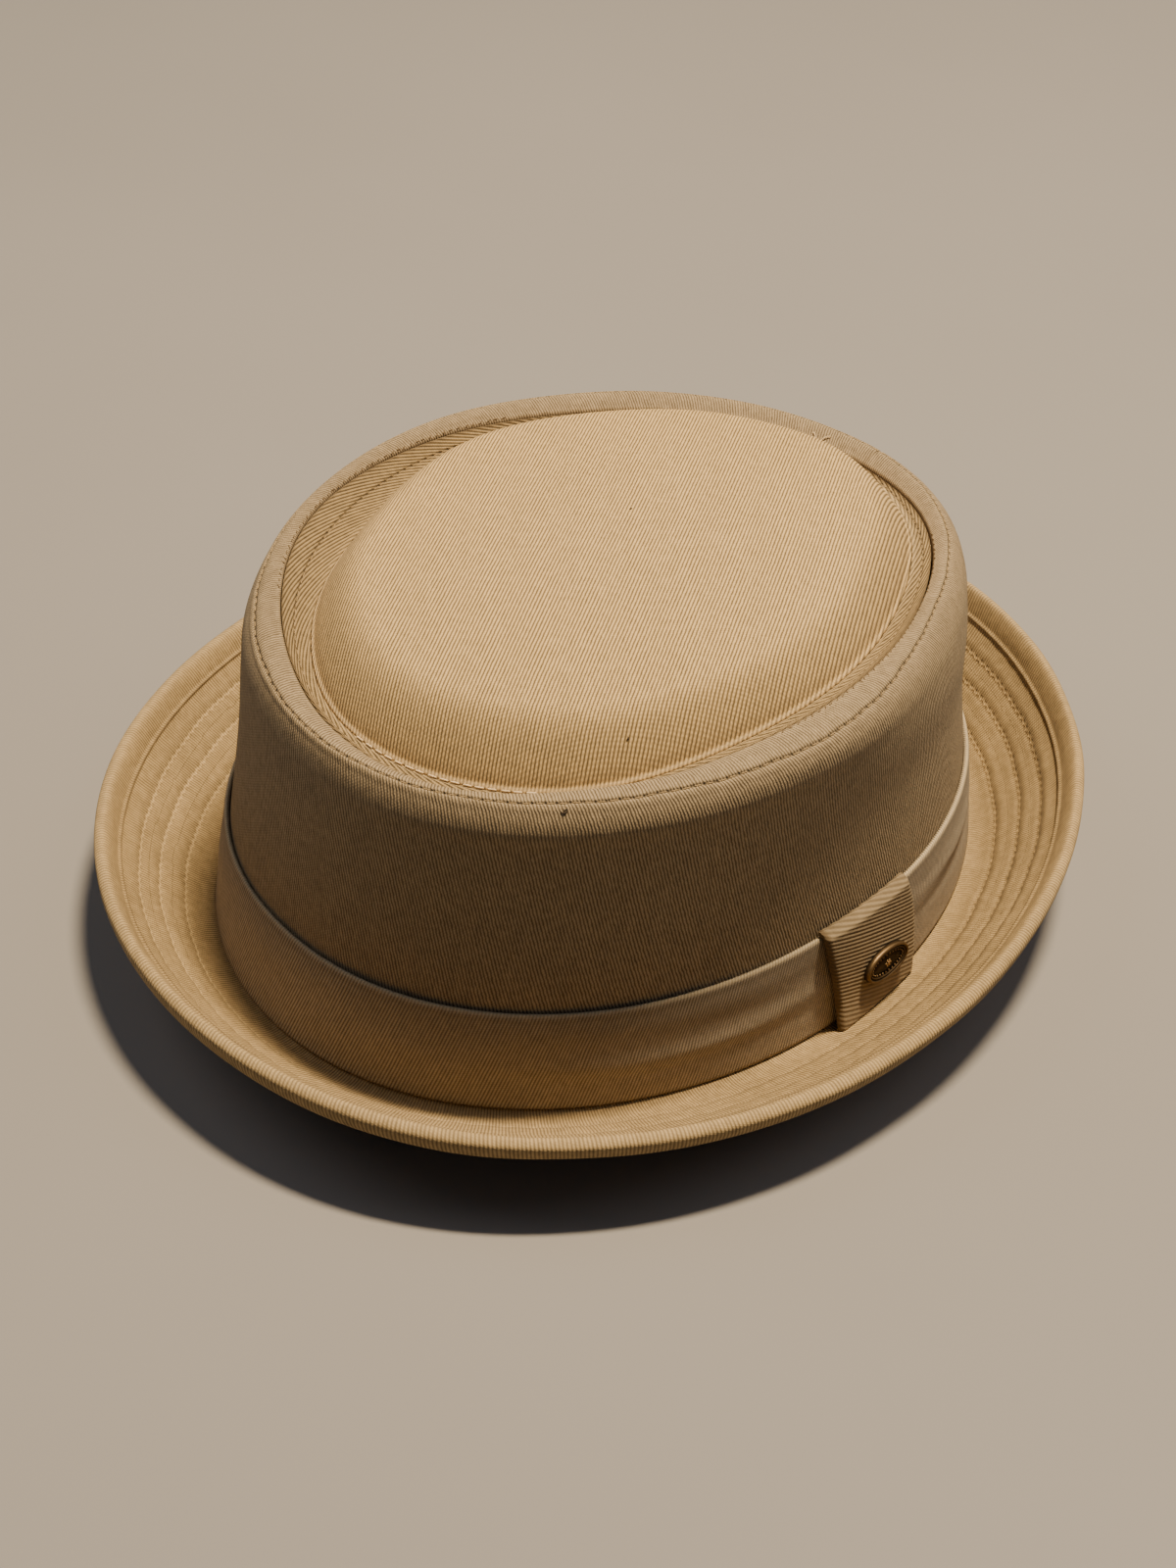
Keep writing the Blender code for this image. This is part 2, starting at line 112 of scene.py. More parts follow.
KEEPER = (
    Strip(0.5, 19.8, 27.2, 0.60),
    Strip(7.0, 20.0, 28.8, 0.45),
    Strip(15.0, 19.6, 29.9, 0.30),
    Strip(23.0, 18.4, 30.4, 0.20),
    Strip(28.6, 17.2, 29.8, 0.05),
)
BADGE_HALF_LENGTH, BADGE_HALF_HEIGHT = 8.0, 4.7
BADGE_CENTRE_Y, BADGE_CENTRE_Z, BADGE_TILT = 20.9, 12.5, -4.0

# ---------------------------------------------------------------- shape helpers

UP = np.array([0.0, 0.0, 1.0])


def unit(v):
    return v / np.maximum(np.linalg.norm(v, axis=-1, keepdims=True), 1e-12)


def turns(count=ROUND, start=90.0):
    """Angles right round, beginning at the centre back."""
    return np.radians(start) + 2 * np.pi * np.arange(count) / count


def ring(s, th):
    c, n = np.cos(th), np.sin(th)
    power = 2.0 + s.square
    r = (np.abs(c) ** power + np.abs(n) ** power) ** (-1.0 / power)
    x = s.half_width * r * c * (1.0 + s.egg * n) + s.centre_x
    y = s.half_length * r * n + s.centre_y
    z = s.height + s.side_lift * np.cos(2 * th) + s.left_lift * c + s.back_lift * n
    return np.stack([x, y, z], -1)


def outward(s, th):
    t = ring(s, th + 0.0087) - ring(s, th - 0.0087)
    return unit(np.stack([t[..., 1], -t[..., 0], 0 * t[..., 0]], -1))


def periodic(rows, column, th):
    values = np.array([getattr(r, column) for r in rows])
    count = len(values)
    place = np.mod(np.degrees(th), 360.0) / (360.0 / count)
    i = np.floor(place).astype(int)
    t = place - i
    p0, p1, p2, p3 = (values[(i + k) % count] for k in (-1, 0, 1, 2))
    return 0.5 * (2 * p1 + (p2 - p0) * t + (2 * p0 - 5 * p1 + 4 * p2 - p3) * t * t
                  + (3 * p1 - p0 - 3 * p2 + p3) * t ** 3)


def crown_ring(s, th):
    p = ring(s, th)
    if s.give:
        p = p + outward(s, th) * (s.give * periodic(RIM, "out", th))[..., None]
        p[..., 2] += s.give * periodic(RIM, "rise", th)
    return p


def seam_ring(th):
    """The inner seam, where the rim ends."""
    p = crown_ring(CROWN[-1], th) - outward(CROWN[-1], th) * periodic(RIM, "width", th)[..., None]
    p[..., 2] -= periodic(RIM, "tuck", th)
    return p


def crest_ring(th):
    a, b = crown_ring(CROWN[-1], th), seam_ring(th)
    p = a + (b - a) * CREST_SHARE
    p[..., 2] += CREST_RISE
    return p


def between(low, high, share):
    return Station("between", *[a + (b - a) * share for a, b in zip(low[1:], high[1:])])


def band_station(height):
    return between(CROWN[0], CROWN[1], height / (CROWN[1].height - SEAT))


def band_foot(th):
    p = ring(CROWN[0], th) + outward(CROWN[0], th) * (GAP + BAND_WALL)
    p[..., 2] = SEAT
    return p


def plan_centre():
    th = np.radians(np.arange(360.0))
    p = band_foot(th) + outward(CROWN[0], th) * periodic(BRIM_EDGE, "out", th)[:, None]
    return np.array([(p[:, 0].min() + p[:, 0].max()) / 2, (p[:, 1].min() + p[:, 1].max()) / 2, 0.0])


ORIGIN = plan_centre()


def knots(control):
    """Mean chord length up to each control row."""
    d = np.linalg.norm(np.diff(control, axis=0), axis=-1)
    d = d.reshape(d.shape[0], -1).mean(1)
    return np.concatenate([[0.0], np.cumsum(d)])


def smooth(control, t, s):
    """A smooth curve through control rows at knots t, read at s."""
    dt = np.diff(t)
    slope = np.diff(control, axis=0) / dt.reshape(-1, *([1] * (control.ndim - 1)))
    m = np.empty_like(control)
    m[0], m[-1] = slope[0], slope[-1]
    for i in range(1, len(t) - 1):
        m[i] = (slope[i] * dt[i - 1] + slope[i - 1] * dt[i]) / (dt[i] + dt[i - 1])
    k = np.clip(np.searchsorted(t, s, side="right") - 1, 0, len(t) - 2)
    x = ((s - t[k]) / dt[k]).reshape(-1, *([1] * (control.ndim - 1)))
    h = dt[k].reshape(-1, *([1] * (control.ndim - 1)))
    return ((2 * x ** 3 - 3 * x ** 2 + 1) * control[k] + (x ** 3 - 2 * x ** 2 + x) * h * m[k]
            + (-2 * x ** 3 + 3 * x ** 2) * control[k + 1] + (x ** 3 - x ** 2) * h * m[k + 1])


def grid_normals(p, closed=True):
    """Unit normals of a grid: rows along a section, columns round the hat."""
    along = np.gradient(p, axis=0)
    if closed:
        across = np.roll(p, -1, 1) - np.roll(p, 1, 1)
    else:
        across = np.gradient(p, axis=1)
    return unit(np.cross(across, along))


def bump(x, middle, width):
    return np.exp(-((x - middle) / width) ** 2)


def angle_bump(th, degrees, width):
    away = (np.degrees(th) - degrees + 180.0) % 360.0 - 180.0
    return np.exp(-(away / width) ** 2)


def waves(th, v, size, seed, low=3, high=14, along=0.02):
    """Slow, uneven swelling of a cloth wall."""
    r = np.random.default_rng(seed)
    total = np.zeros(np.broadcast(th, v).shape)
    for k in range(low, high):
        total = total + r.normal() * np.sin(k * th + r.uniform(0, 6.28) + v * along * r.normal() * k) / k ** 0.7
    return size * total / 1.6


def arc_length(p):
    d = np.linalg.norm(np.roll(p, -1, 0) - p, axis=-1)
    return np.concatenate([[0.0], np.cumsum(d)])


# ---------------------------------------------------------------- mesh makers

def volume(v, f):
    a, b, c, d = (v[f[:, i]] for i in range(4))
    return (np.einsum("ij,ij->i", a, np.cross(b, c)) + np.einsum("ij,ij->i", a, np.cross(c, d))).sum()


def mesh_object(name, verts, quads, tris=(), uv=None, uv_tri=None, stitch=None, wear_and_painted_light=None, material=None, slot=None):
    """A closed mesh in metres from points in millimetres, with cloth coordinates, stitch coordinates and a per-point
    value for rubbed cloth, painted highlights and painted shade.
    """
    quads = np.asarray(quads).reshape(-1, 4)
    tris = np.asarray(tris).reshape(-1, 3) if len(tris) else np.zeros((0, 3), int)
    size = volume(verts, quads)
    if len(tris):
        size += np.einsum("ij,ij->i", verts[tris[:, 0]], np.cross(verts[tris[:, 1]], verts[tris[:, 2]])).sum()
    if size < 0:
        quads, tris = quads[:, ::-1], tris[:, ::-1]
        uv = None if uv is None else uv[:, ::-1]
        uv_tri = None if uv_tri is None else uv_tri[:, ::-1]
        stitch = None if stitch is None else stitch[:, ::-1]
    mesh = bpy.data.meshes.new(name)
    nq, nt = len(quads), len(tris)
    mesh.vertices.add(len(verts))
    mesh.vertices.foreach_set("co", ((verts - ORIGIN) * MM).astype(np.float32).ravel())
    mesh.loops.add(nq * 4 + nt * 3)
    mesh.loops.foreach_set("vertex_index", np.concatenate([quads.ravel(), tris.ravel()]).astype(np.int32))
    mesh.polygons.add(nq + nt)
    starts = np.concatenate([np.arange(nq) * 4, nq * 4 + np.arange(nt) * 3]).astype(np.int32)
    mesh.polygons.foreach_set("loop_start", starts)
    mesh.update(calc_edges=True)
    mesh.validate()
    mesh.shade_smooth()
    for layer_name, corners, extra in (("cloth", uv, uv_tri), ("stitch", stitch, None)):
        if corners is None:
            continue
        layer = mesh.uv_layers.new(name=layer_name)
        flat = [corners.reshape(-1, 2)]
        if nt:
            flat.append((extra if extra is not None else np.full((nt, 3, 2), 40.0)).reshape(-1, 2))
        layer.data.foreach_set("uv", np.concatenate(flat).astype(np.float32).ravel())
    attribute = mesh.attributes.new("wear_and_painted_light", "FLOAT", "POINT")
    attribute.data.foreach_set("value", (np.zeros(len(verts)) if wear_and_painted_light is None else np.asarray(wear_and_painted_light).ravel()).astype(np.float32))
    piece = bpy.data.objects.new(name, mesh)
    bpy.context.scene.collection.objects.link(piece)
    if material:
        mesh.materials.append(material)
    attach(piece, "root")
    return piece


def corner_pairs(u, v):
    """Face-corner coordinates of a closed ring from grids one column wider than it."""
    un, vn = np.roll(u, -1, 0), np.roll(v, -1, 0)
    vn[-1] = v[-1] - 2
    return np.stack([np.stack([u[:, :-1], v[:, :-1]], -1), np.stack([u[:, 1:], v[:, 1:]], -1),
                     np.stack([un[:, 1:], vn[:, 1:]], -1), np.stack([un[:, :-1], vn[:, :-1]], -1)], -2).reshape(-1, 4, 2)


def wall(name, face, hidden, u, v, wear_and_painted_light=None, hidden_v=None, beat=None, away=None, **more):
    """A closed ring from a visible grid and a hidden one, (rows, columns, 3) each.

    u has one value a column and one more; v has one value a row or one a point. beat counts
    the stitches round the ring and away is each point's distance from its stitch line."""
    p = np.concatenate([face, hidden[::-1]])
    rows, cols = p.shape[:2]
    nf, nh = len(face), len(hidden)
    index = np.arange(rows * cols).reshape(rows, cols)
    below, right = np.roll(index, -1, 0), np.roll(index, -1, 1)
    quads = np.stack([index, right, np.roll(below, -1, 1), below], -1).reshape(-1, 4)
    vf = np.repeat(v[:, None], cols + 1, 1) if np.ndim(v) == 1 else np.concatenate([v, v[:, :1]], 1)
    k = np.linspace(0, 1, nh)[:, None]
    vh = (vf[-1:] + 2) * (1 - k) + (vf[:1] - 2) * k if hidden_v is None else np.repeat(np.asarray(hidden_v)[:, None], cols + 1, 1)
    uu = np.repeat(np.asarray(u)[None], rows, 0)
    uv = corner_pairs(uu, np.concatenate([vf, vh]))
    stitch = None
    if beat is not None:
        far = np.full((nh, cols + 1), 40.0)
        stitch = corner_pairs(np.repeat(np.asarray(beat)[None], rows, 0),
                              np.concatenate([np.concatenate([away, away[:, :1]], 1), far]))
    w = np.zeros((rows, cols))
    if wear_and_painted_light is not None:
        w[:nf] = wear_and_painted_light
    return mesh_object(name, p.reshape(-1, 3), quads, uv=uv, stitch=stitch, wear_and_painted_light=w, **more)


def capsules(name, centre, along, normal, length, radius, material, slot, sides=6, sink=0.35, bow=0.0):
    """Many short rounded stitches as one mesh."""
    count = len(centre)
    length = np.broadcast_to(length, (count,))
    radius = np.broadcast_to(radius, (count,))
    rings = np.array([(-0.5, 0.0), (-0.46, 0.62), (-0.34, 0.95), (0.0, 1.0), (0.34, 0.95), (0.46, 0.62), (0.5, 0.0)])
    side = unit(np.cross(normal, along))
    verts, start = [], []
    a = 2 * np.pi * np.arange(sides) / sides
    template_quads, template_tris = [], []
    for k in range(1, len(rings) - 2):
        for j in range(sides):
            m = (j + 1) % sides
            b0, b1 = 1 + (k - 1) * sides, 1 + k * sides
            template_quads.append((b0 + j, b0 + m, b1 + m, b1 + j))
    last = 1 + (len(rings) - 2) * sides
    for j in range(sides):
        m = (j + 1) % sides
        template_tris.append((0, 1 + m, 1 + j))
        template_tris.append((last, last - sides + j, last - sides + m))
    per = last + 1
    block = np.empty((count, per, 3))
    def place(x, r, ang):
        lift = bow * (1 - (2 * x / length) ** 2) - 0.0
        return (centre + along * x[:, None] + normal * ((radius * r * math.sin(ang)) + lift + radius * (1 - 2 * sink))[:, None]
                + side * (radius * r * math.cos(ang))[:, None])
    block[:, 0] = place(rings[0, 0] * length, 0.0, 0.0)
    for k in range(1, len(rings) - 1):
        for j in range(sides):
            block[:, 1 + (k - 1) * sides + j] = place(rings[k, 0] * length, rings[k, 1], a[j])
    block[:, last] = place(rings[-1, 0] * length, 0.0, 0.0)
    offset = (np.arange(count) * per)[:, None, None]
    quads = (np.array(template_quads)[None] + offset).reshape(-1, 4)
    tris = (np.array(template_tris)[None] + offset).reshape(-1, 3)
    return mesh_object(name, block.reshape(-1, 3), quads, tris, material=material, slot=slot)


def beats(arc, pitch):
    """Stitch count at each column of a ring, closing on a whole number."""
    return arc / arc[-1] * round(arc[-1] / pitch)


def seam_stitches(path, normals, beat, fill, jitter=0.04, seed=1, keep=None):
    """Centres, directions, normals and lengths of stitches between the needle holes of a closed path."""
    r = np.random.default_rng(seed)
    count = int(round(beat[-1]))
    places = np.arange(count) + 0.5 + r.normal(0, jitter, count)
    if keep is not None:
        places = places[keep(360.0 * places / count + 90.0)]
    closed = np.concatenate([path, path[:1]])
    closed_n = np.concatenate([normals, normals[:1]])

    def at(s, grid):
        s = np.mod(s, count)
        return np.stack([np.interp(s, beat, grid[:, i]) for i in range(3)], -1)

    centre = at(places, closed)
    ahead, behind = at(places + 0.4, closed), at(places - 0.4, closed)
    along = unit(ahead - behind)
    normal = unit(at(places, closed_n))
    normal = unit(normal - along * (normal * along).sum(-1, keepdims=True))
    length = np.linalg.norm(ahead - behind, axis=-1) / 0.8 * fill * (1 + r.normal(0, 0.05, len(places)))
    return centre, along, normal, length


# ---------------------------------------------------------------- materials

def node_tools(material):
    tree = material.node_tree
    nodes, links = tree.nodes, tree.links

    def value(x):
        return x

    def link(a, socket):
        if isinstance(a, (int, float)):
            socket.default_value = a
        elif isinstance(a, tuple):
            socket.default_value = a
        else:
            links.new(a, socket)

    def math_node(op, a, b=0.0, c=None, clamp=False):
        n = nodes.new("ShaderNodeMath")
        n.operation = op
        n.use_clamp = clamp
        link(a, n.inputs[0])
        link(b, n.inputs[1])
        if c is not None:
            link(c, n.inputs[2])
        return n.outputs[0]

    def mix(a, b, factor, blend="MIX"):
        n = nodes.new("ShaderNodeMix")
        n.data_type = "RGBA"
        n.blend_type = blend
        n.clamp_factor = True
        link(factor, n.inputs[0])
        link(a, n.inputs[6])
        link(b, n.inputs[7])
        return n.outputs[2]

    def noise(scale, detail=2.0, rough=0.5, vector=None):
        n = nodes.new("ShaderNodeTexNoise")
        n.inputs["Scale"].default_value = scale
        n.inputs["Detail"].default_value = detail
        n.inputs["Roughness"].default_value = rough
        if vector is not None:
            links.new(vector, n.inputs["Vector"])
        return n.outputs["Fac"]

    return tree, nodes, links, link, math_node, mix, noise


def colour(rgb, k=1.0):
    return (rgb[0] * k, rgb[1] * k, rgb[2] * k, 1.0)


KHAKI = (0.404, 0.278, 0.134)
SHADED = (0.386, 0.281, 0.166)   # side, band and tab, a little greyer


def twill(name, base, wale_degrees, pitch, contrast=0.7, depth=0.11, tone=1.0, mottle=0.10, cross=0.6,
          rough=0.88, sheen=0.03, wander=0.9, slubs=0.40, groove=None, line=(0.45, 0.30),
          ridge=None, jitter=0.0):
    """Cotton twill: raised wales of short floats, read from the cloth coordinates in millimetres.

    groove is the depth of a stitched line, read from the stitch coordinates, and line how much
    darker it is at its needle holes and between them. ridge is for a row that stands up as a
    scalloped lip: how much lighter the lip is, and how much darker the cloth just past it."""
    material = bpy.data.materials.new(name)
    material.use_nodes = True
    tree, nodes, links, link, m, mix, noise = node_tools(material)
    shader = nodes["Principled BSDF"]

    def pair(layer):
        uv = nodes.new("ShaderNodeUVMap")
        uv.uv_map = layer
        split = nodes.new("ShaderNodeSeparateXYZ")
        links.new(uv.outputs[0], split.inputs[0])
        return split.outputs[0], split.outputs[1]

    u, v = pair("cloth")
    where = nodes.new("ShaderNodeTexCoord").outputs["Object"]
    a = math.radians(wale_degrees)
    over = m("ADD", m("MULTIPLY", u, -math.sin(a)), m("MULTIPLY", v, math.cos(a)))
    if wander:
        over = m("ADD", over, m("MULTIPLY", m("SUBTRACT", noise(90.0, 2.0, 0.5, where), 0.5), pitch * wander))
    if jitter:
        over = m("ADD", over, m("MULTIPLY", m("SUBTRACT", noise(750.0, 1.0, 0.5, where), 0.5), pitch * jitter))
    run = m("ADD", m("MULTIPLY", u, math.cos(a)), m("MULTIPLY", v, math.sin(a)))
    wale = m("MULTIPLY_ADD", m("SINE", m("MULTIPLY", over, 2 * math.pi / pitch)), 0.5, 0.5)
    wale = m("POWER", wale, 0.8)
    # Each wale is built of short floats that step along it.
    step = m("ADD", m("MULTIPLY", run, 2 * math.pi / (pitch * 0.86)), m("MULTIPLY", over, math.pi / pitch))
    floats = m("MULTIPLY_ADD", m("SINE", step), 0.5, 0.5)
    fuzz = noise(2300.0, 2.0, 0.6, where)
    slub = noise(520.0, 2.0, 0.6, where)
    height = m("MULTIPLY", m("ADD", wale, m("MULTIPLY", m("MULTIPLY", floats, wale), 0.4 * cross)), depth)
    height = m("ADD", height, m("MULTIPLY", fuzz, 0.035))
    slow = noise(38.0, 3.0, 0.55, where)
    middle = noise(230.0, 3.0, 0.6, where)
    height = m("ADD", height, m("MULTIPLY", middle, 0.10))
    light, dark = colour(base, tone * (1 + 0.34 * contrast)), colour(base, tone * (1 - 0.62 * contrast))
    dark = (dark[0], dark[1] * 0.97, dark[2] * 0.90, 1.0)
    shade = m("MULTIPLY", wale, m("MULTIPLY_ADD", floats, 0.45 * cross, 1 - 0.45 * cross))
    shade = m("ADD", shade, m("MULTIPLY", m("SUBTRACT", fuzz, 0.5), 0.30))
    shade = m("ADD", shade, m("MULTIPLY", m("SUBTRACT", slub, 0.5), 2 * slubs))
    tint = mix(dark, light, shade)
    vary = m("ADD", m("MULTIPLY_ADD", slow, 2 * mottle, 1 - mottle), m("MULTIPLY", m("SUBTRACT", middle, 0.5), 1.2 * mottle))
    if groove:
        along, away = pair("stitch")
        beat = m("COSINE", m("MULTIPLY", along, 2 * math.pi))
        hole = m("POWER", m("MULTIPLY_ADD", beat, 0.5, 0.5), 5.0)
        square = m("MULTIPLY", away, away)

        def near(width):
            return m("EXPONENT", m("MULTIPLY", square, -1.0 / width ** 2))

        height = m("SUBTRACT", height, m("MULTIPLY", m("MULTIPLY", near(0.34), m("MULTIPLY_ADD", hole, 1.0, 0.5)), groove))
        height = m("SUBTRACT", height, m("MULTIPLY", m("MULTIPLY", near(1.5), beat), groove * 0.30))
        # Painted shade: the cloth is darkened along the stitched groove, most at the needle holes.
        vary = m("MULTIPLY", vary, m("SUBTRACT", 1.0, m("MULTIPLY", near(0.24), m("MULTIPLY_ADD", hole, line[0], line[1]))))
        if ridge:
            # Painted highlight on the scalloped lip and painted shade on the cloth just past it; the lip also gets a
            # little bump height.
            edge = m("MULTIPLY_ADD", beat, 0.22, away)
            inside = m("ADD", edge, 0.55)
            lip = m("EXPONENT", m("MULTIPLY", m("MULTIPLY", inside, inside), -1.0 / 0.55 ** 2))
            past = m("DIVIDE", 1.0, m("ADD", 1.0, m("EXPONENT", m("MULTIPLY", edge, -7.0, clamp=False))))
            fall = m("MULTIPLY", past, m("EXPONENT", m("MULTIPLY", m("MULTIPLY", edge, edge), -1.0 / 2.1 ** 2)))
            vary = m("MULTIPLY", vary, m("SUBTRACT", m("MULTIPLY_ADD", lip, ridge[0], 1.0), m("MULTIPLY", fall, ridge[1])))
            height = m("ADD", height, m("MULTIPLY", lip, 0.22))
    grey = nodes.new("ShaderNodeCombineColor")
    for i in range(3):
        links.new(vary, grey.inputs[i])
    tint = mix(tint, grey.outputs[0], 1.0, "MULTIPLY")
    # The per-point value paints two things. Where it is positive, the cloth goes towards the light rubbed colour, which
    # is partly rubbed wear and partly painted highlight. Where it is negative, the cloth goes towards dark brown, which
    # is painted shade.
    worn = nodes.new("ShaderNodeAttribute")
    worn.attribute_name = "wear_and_painted_light"
    rubbed = m("MULTIPLY", worn.outputs["Fac"], 0.75, clamp=True)
    painted_shade = m("MULTIPLY", worn.outputs["Fac"], -0.85, clamp=True)
    tint = mix(tint, colour((0.74, 0.555, 0.315)), rubbed)
    tint = mix(tint, colour((0.11, 0.072, 0.036)), painted_shade)
    links.new(tint, shader.inputs["Base Color"])
    links.new(m("MULTIPLY_ADD", fuzz, 0.12, rough - 0.06), shader.inputs["Roughness"])
    shader.inputs["Specular IOR Level"].default_value = 0.22
    shader.inputs["Sheen Weight"].default_value = sheen
    shader.inputs["Sheen Roughness"].default_value = 0.5
    shader.inputs["Sheen Tint"].default_value = (1.0, 0.90, 0.74, 1.0)
    bump_node = nodes.new("ShaderNodeBump")
    bump_node.inputs["Strength"].default_value = 1.0
    bump_node.inputs["Distance"].default_value = MM
    links.new(height, bump_node.inputs["Height"])
    links.new(bump_node.outputs[0], shader.inputs["Normal"])
    return material


def thread_material(name, base, rough=0.8):
    material = bpy.data.materials.new(name)
    material.use_nodes = True
    tree, nodes, links, link, m, mix, noise = node_tools(material)
    shader = nodes["Principled BSDF"]
    where = nodes.new("ShaderNodeTexCoord").outputs["Object"]
    grain = noise(1800.0, 2.0, 0.5, where)
    links.new(mix(colour(base, 0.72), colour(base, 1.2), grain), shader.inputs["Base Color"])
    shader.inputs["Roughness"].default_value = rough
    shader.inputs["Specular IOR Level"].default_value = 0.25
    bump_node = nodes.new("ShaderNodeBump")
    bump_node.inputs["Distance"].default_value = 0.00006
    links.new(noise(2400.0, 1.0, 0.5, where), bump_node.inputs["Height"])
    links.new(bump_node.outputs[0], shader.inputs["Normal"])
    return material


def brass_material(name):
    """Antique brass: bright where it is rubbed, brown-black in the hollows."""
    material = bpy.data.materials.new(name)
    material.use_nodes = True
    tree, nodes, links, link, m, mix, noise = node_tools(material)
    shader = nodes["Principled BSDF"]
    where = nodes.new("ShaderNodeTexCoord").outputs["Object"]
    worn = nodes.new("ShaderNodeAttribute")
    worn.attribute_name = "wear_and_painted_light"
    patch = noise(420.0, 4.0, 0.65, where)
    bright = m("ADD", worn.outputs["Fac"], m("MULTIPLY", m("SUBTRACT", patch, 0.5), 0.25), clamp=True)
    tint = mix(colour((0.010, 0.0065, 0.004)), colour((0.44, 0.275, 0.125)), bright)
    links.new(tint, shader.inputs["Base Color"])
    links.new(m("MULTIPLY_ADD", bright, -0.25, 0.58), shader.inputs["Roughness"])
    shader.inputs["Metallic"].default_value = 0.92
    bump_node = nodes.new("ShaderNodeBump")
    bump_node.inputs["Distance"].default_value = 0.00004
    links.new(noise(900.0, 3.0, 0.6, where), bump_node.inputs["Height"])
    links.new(bump_node.outputs[0], shader.inputs["Normal"])
    return material


# The tones are painted light and shade. The tip is a brighter, yellower copy of the khaki for its lit top. The crown
# side, gusset, brim, band and tab are darker copies for faces that stand more in shade, and the tab is the darkest.
side_cloth = twill("twill_crown_side", SHADED, 105.5, 0.79, contrast=1.05, tone=0.76, groove=0.16, line=(0.10, 0.45),
                   wander=0.15, slubs=0.30, jitter=0.55)
gusset_cloth = twill("twill_gusset", KHAKI, 164.0, 0.80, contrast=1.30, tone=0.67, groove=0.14, wander=0.3, slubs=0.25)
tip_cloth = twill("twill_tip", (0.432, 0.290, 0.130), 0.0, 0.84, contrast=1.25, tone=1.16, mottle=0.06, wander=0.25, slubs=0.16,
                  jitter=0.22)
brim_cloth = twill("twill_brim", KHAKI, 87.0, 0.78, contrast=0.80, tone=0.86, mottle=0.26, groove=0.08, line=(0.10, 0.0),
                   ridge=(0.40, 0.16))
band_cloth = twill("twill_band", (0.376, 0.302, 0.216), 72.0, 0.79, contrast=0.95, tone=0.82, wander=0.4, slubs=0.25)
rib_cloth = twill("rib_keeper", SHADED, -19.0, 1.12, contrast=0.55, depth=0.05, tone=0.50, cross=0.2, wander=0.0)
thread = thread_material("thread_tan", (0.34, 0.235, 0.12))
dark_thread = thread_material("thread_brown", (0.15, 0.098, 0.05))
light_thread = thread_material("thread_light", (0.70, 0.52, 0.30))
lint = thread_material("lint_brown", (0.05, 0.032, 0.02))
old_brass = brass_material("antique_brass")

# ---------------------------------------------------------------- crown side and rim

th = turns()
hat_arc = arc_length(ring(CROWN[0], th))


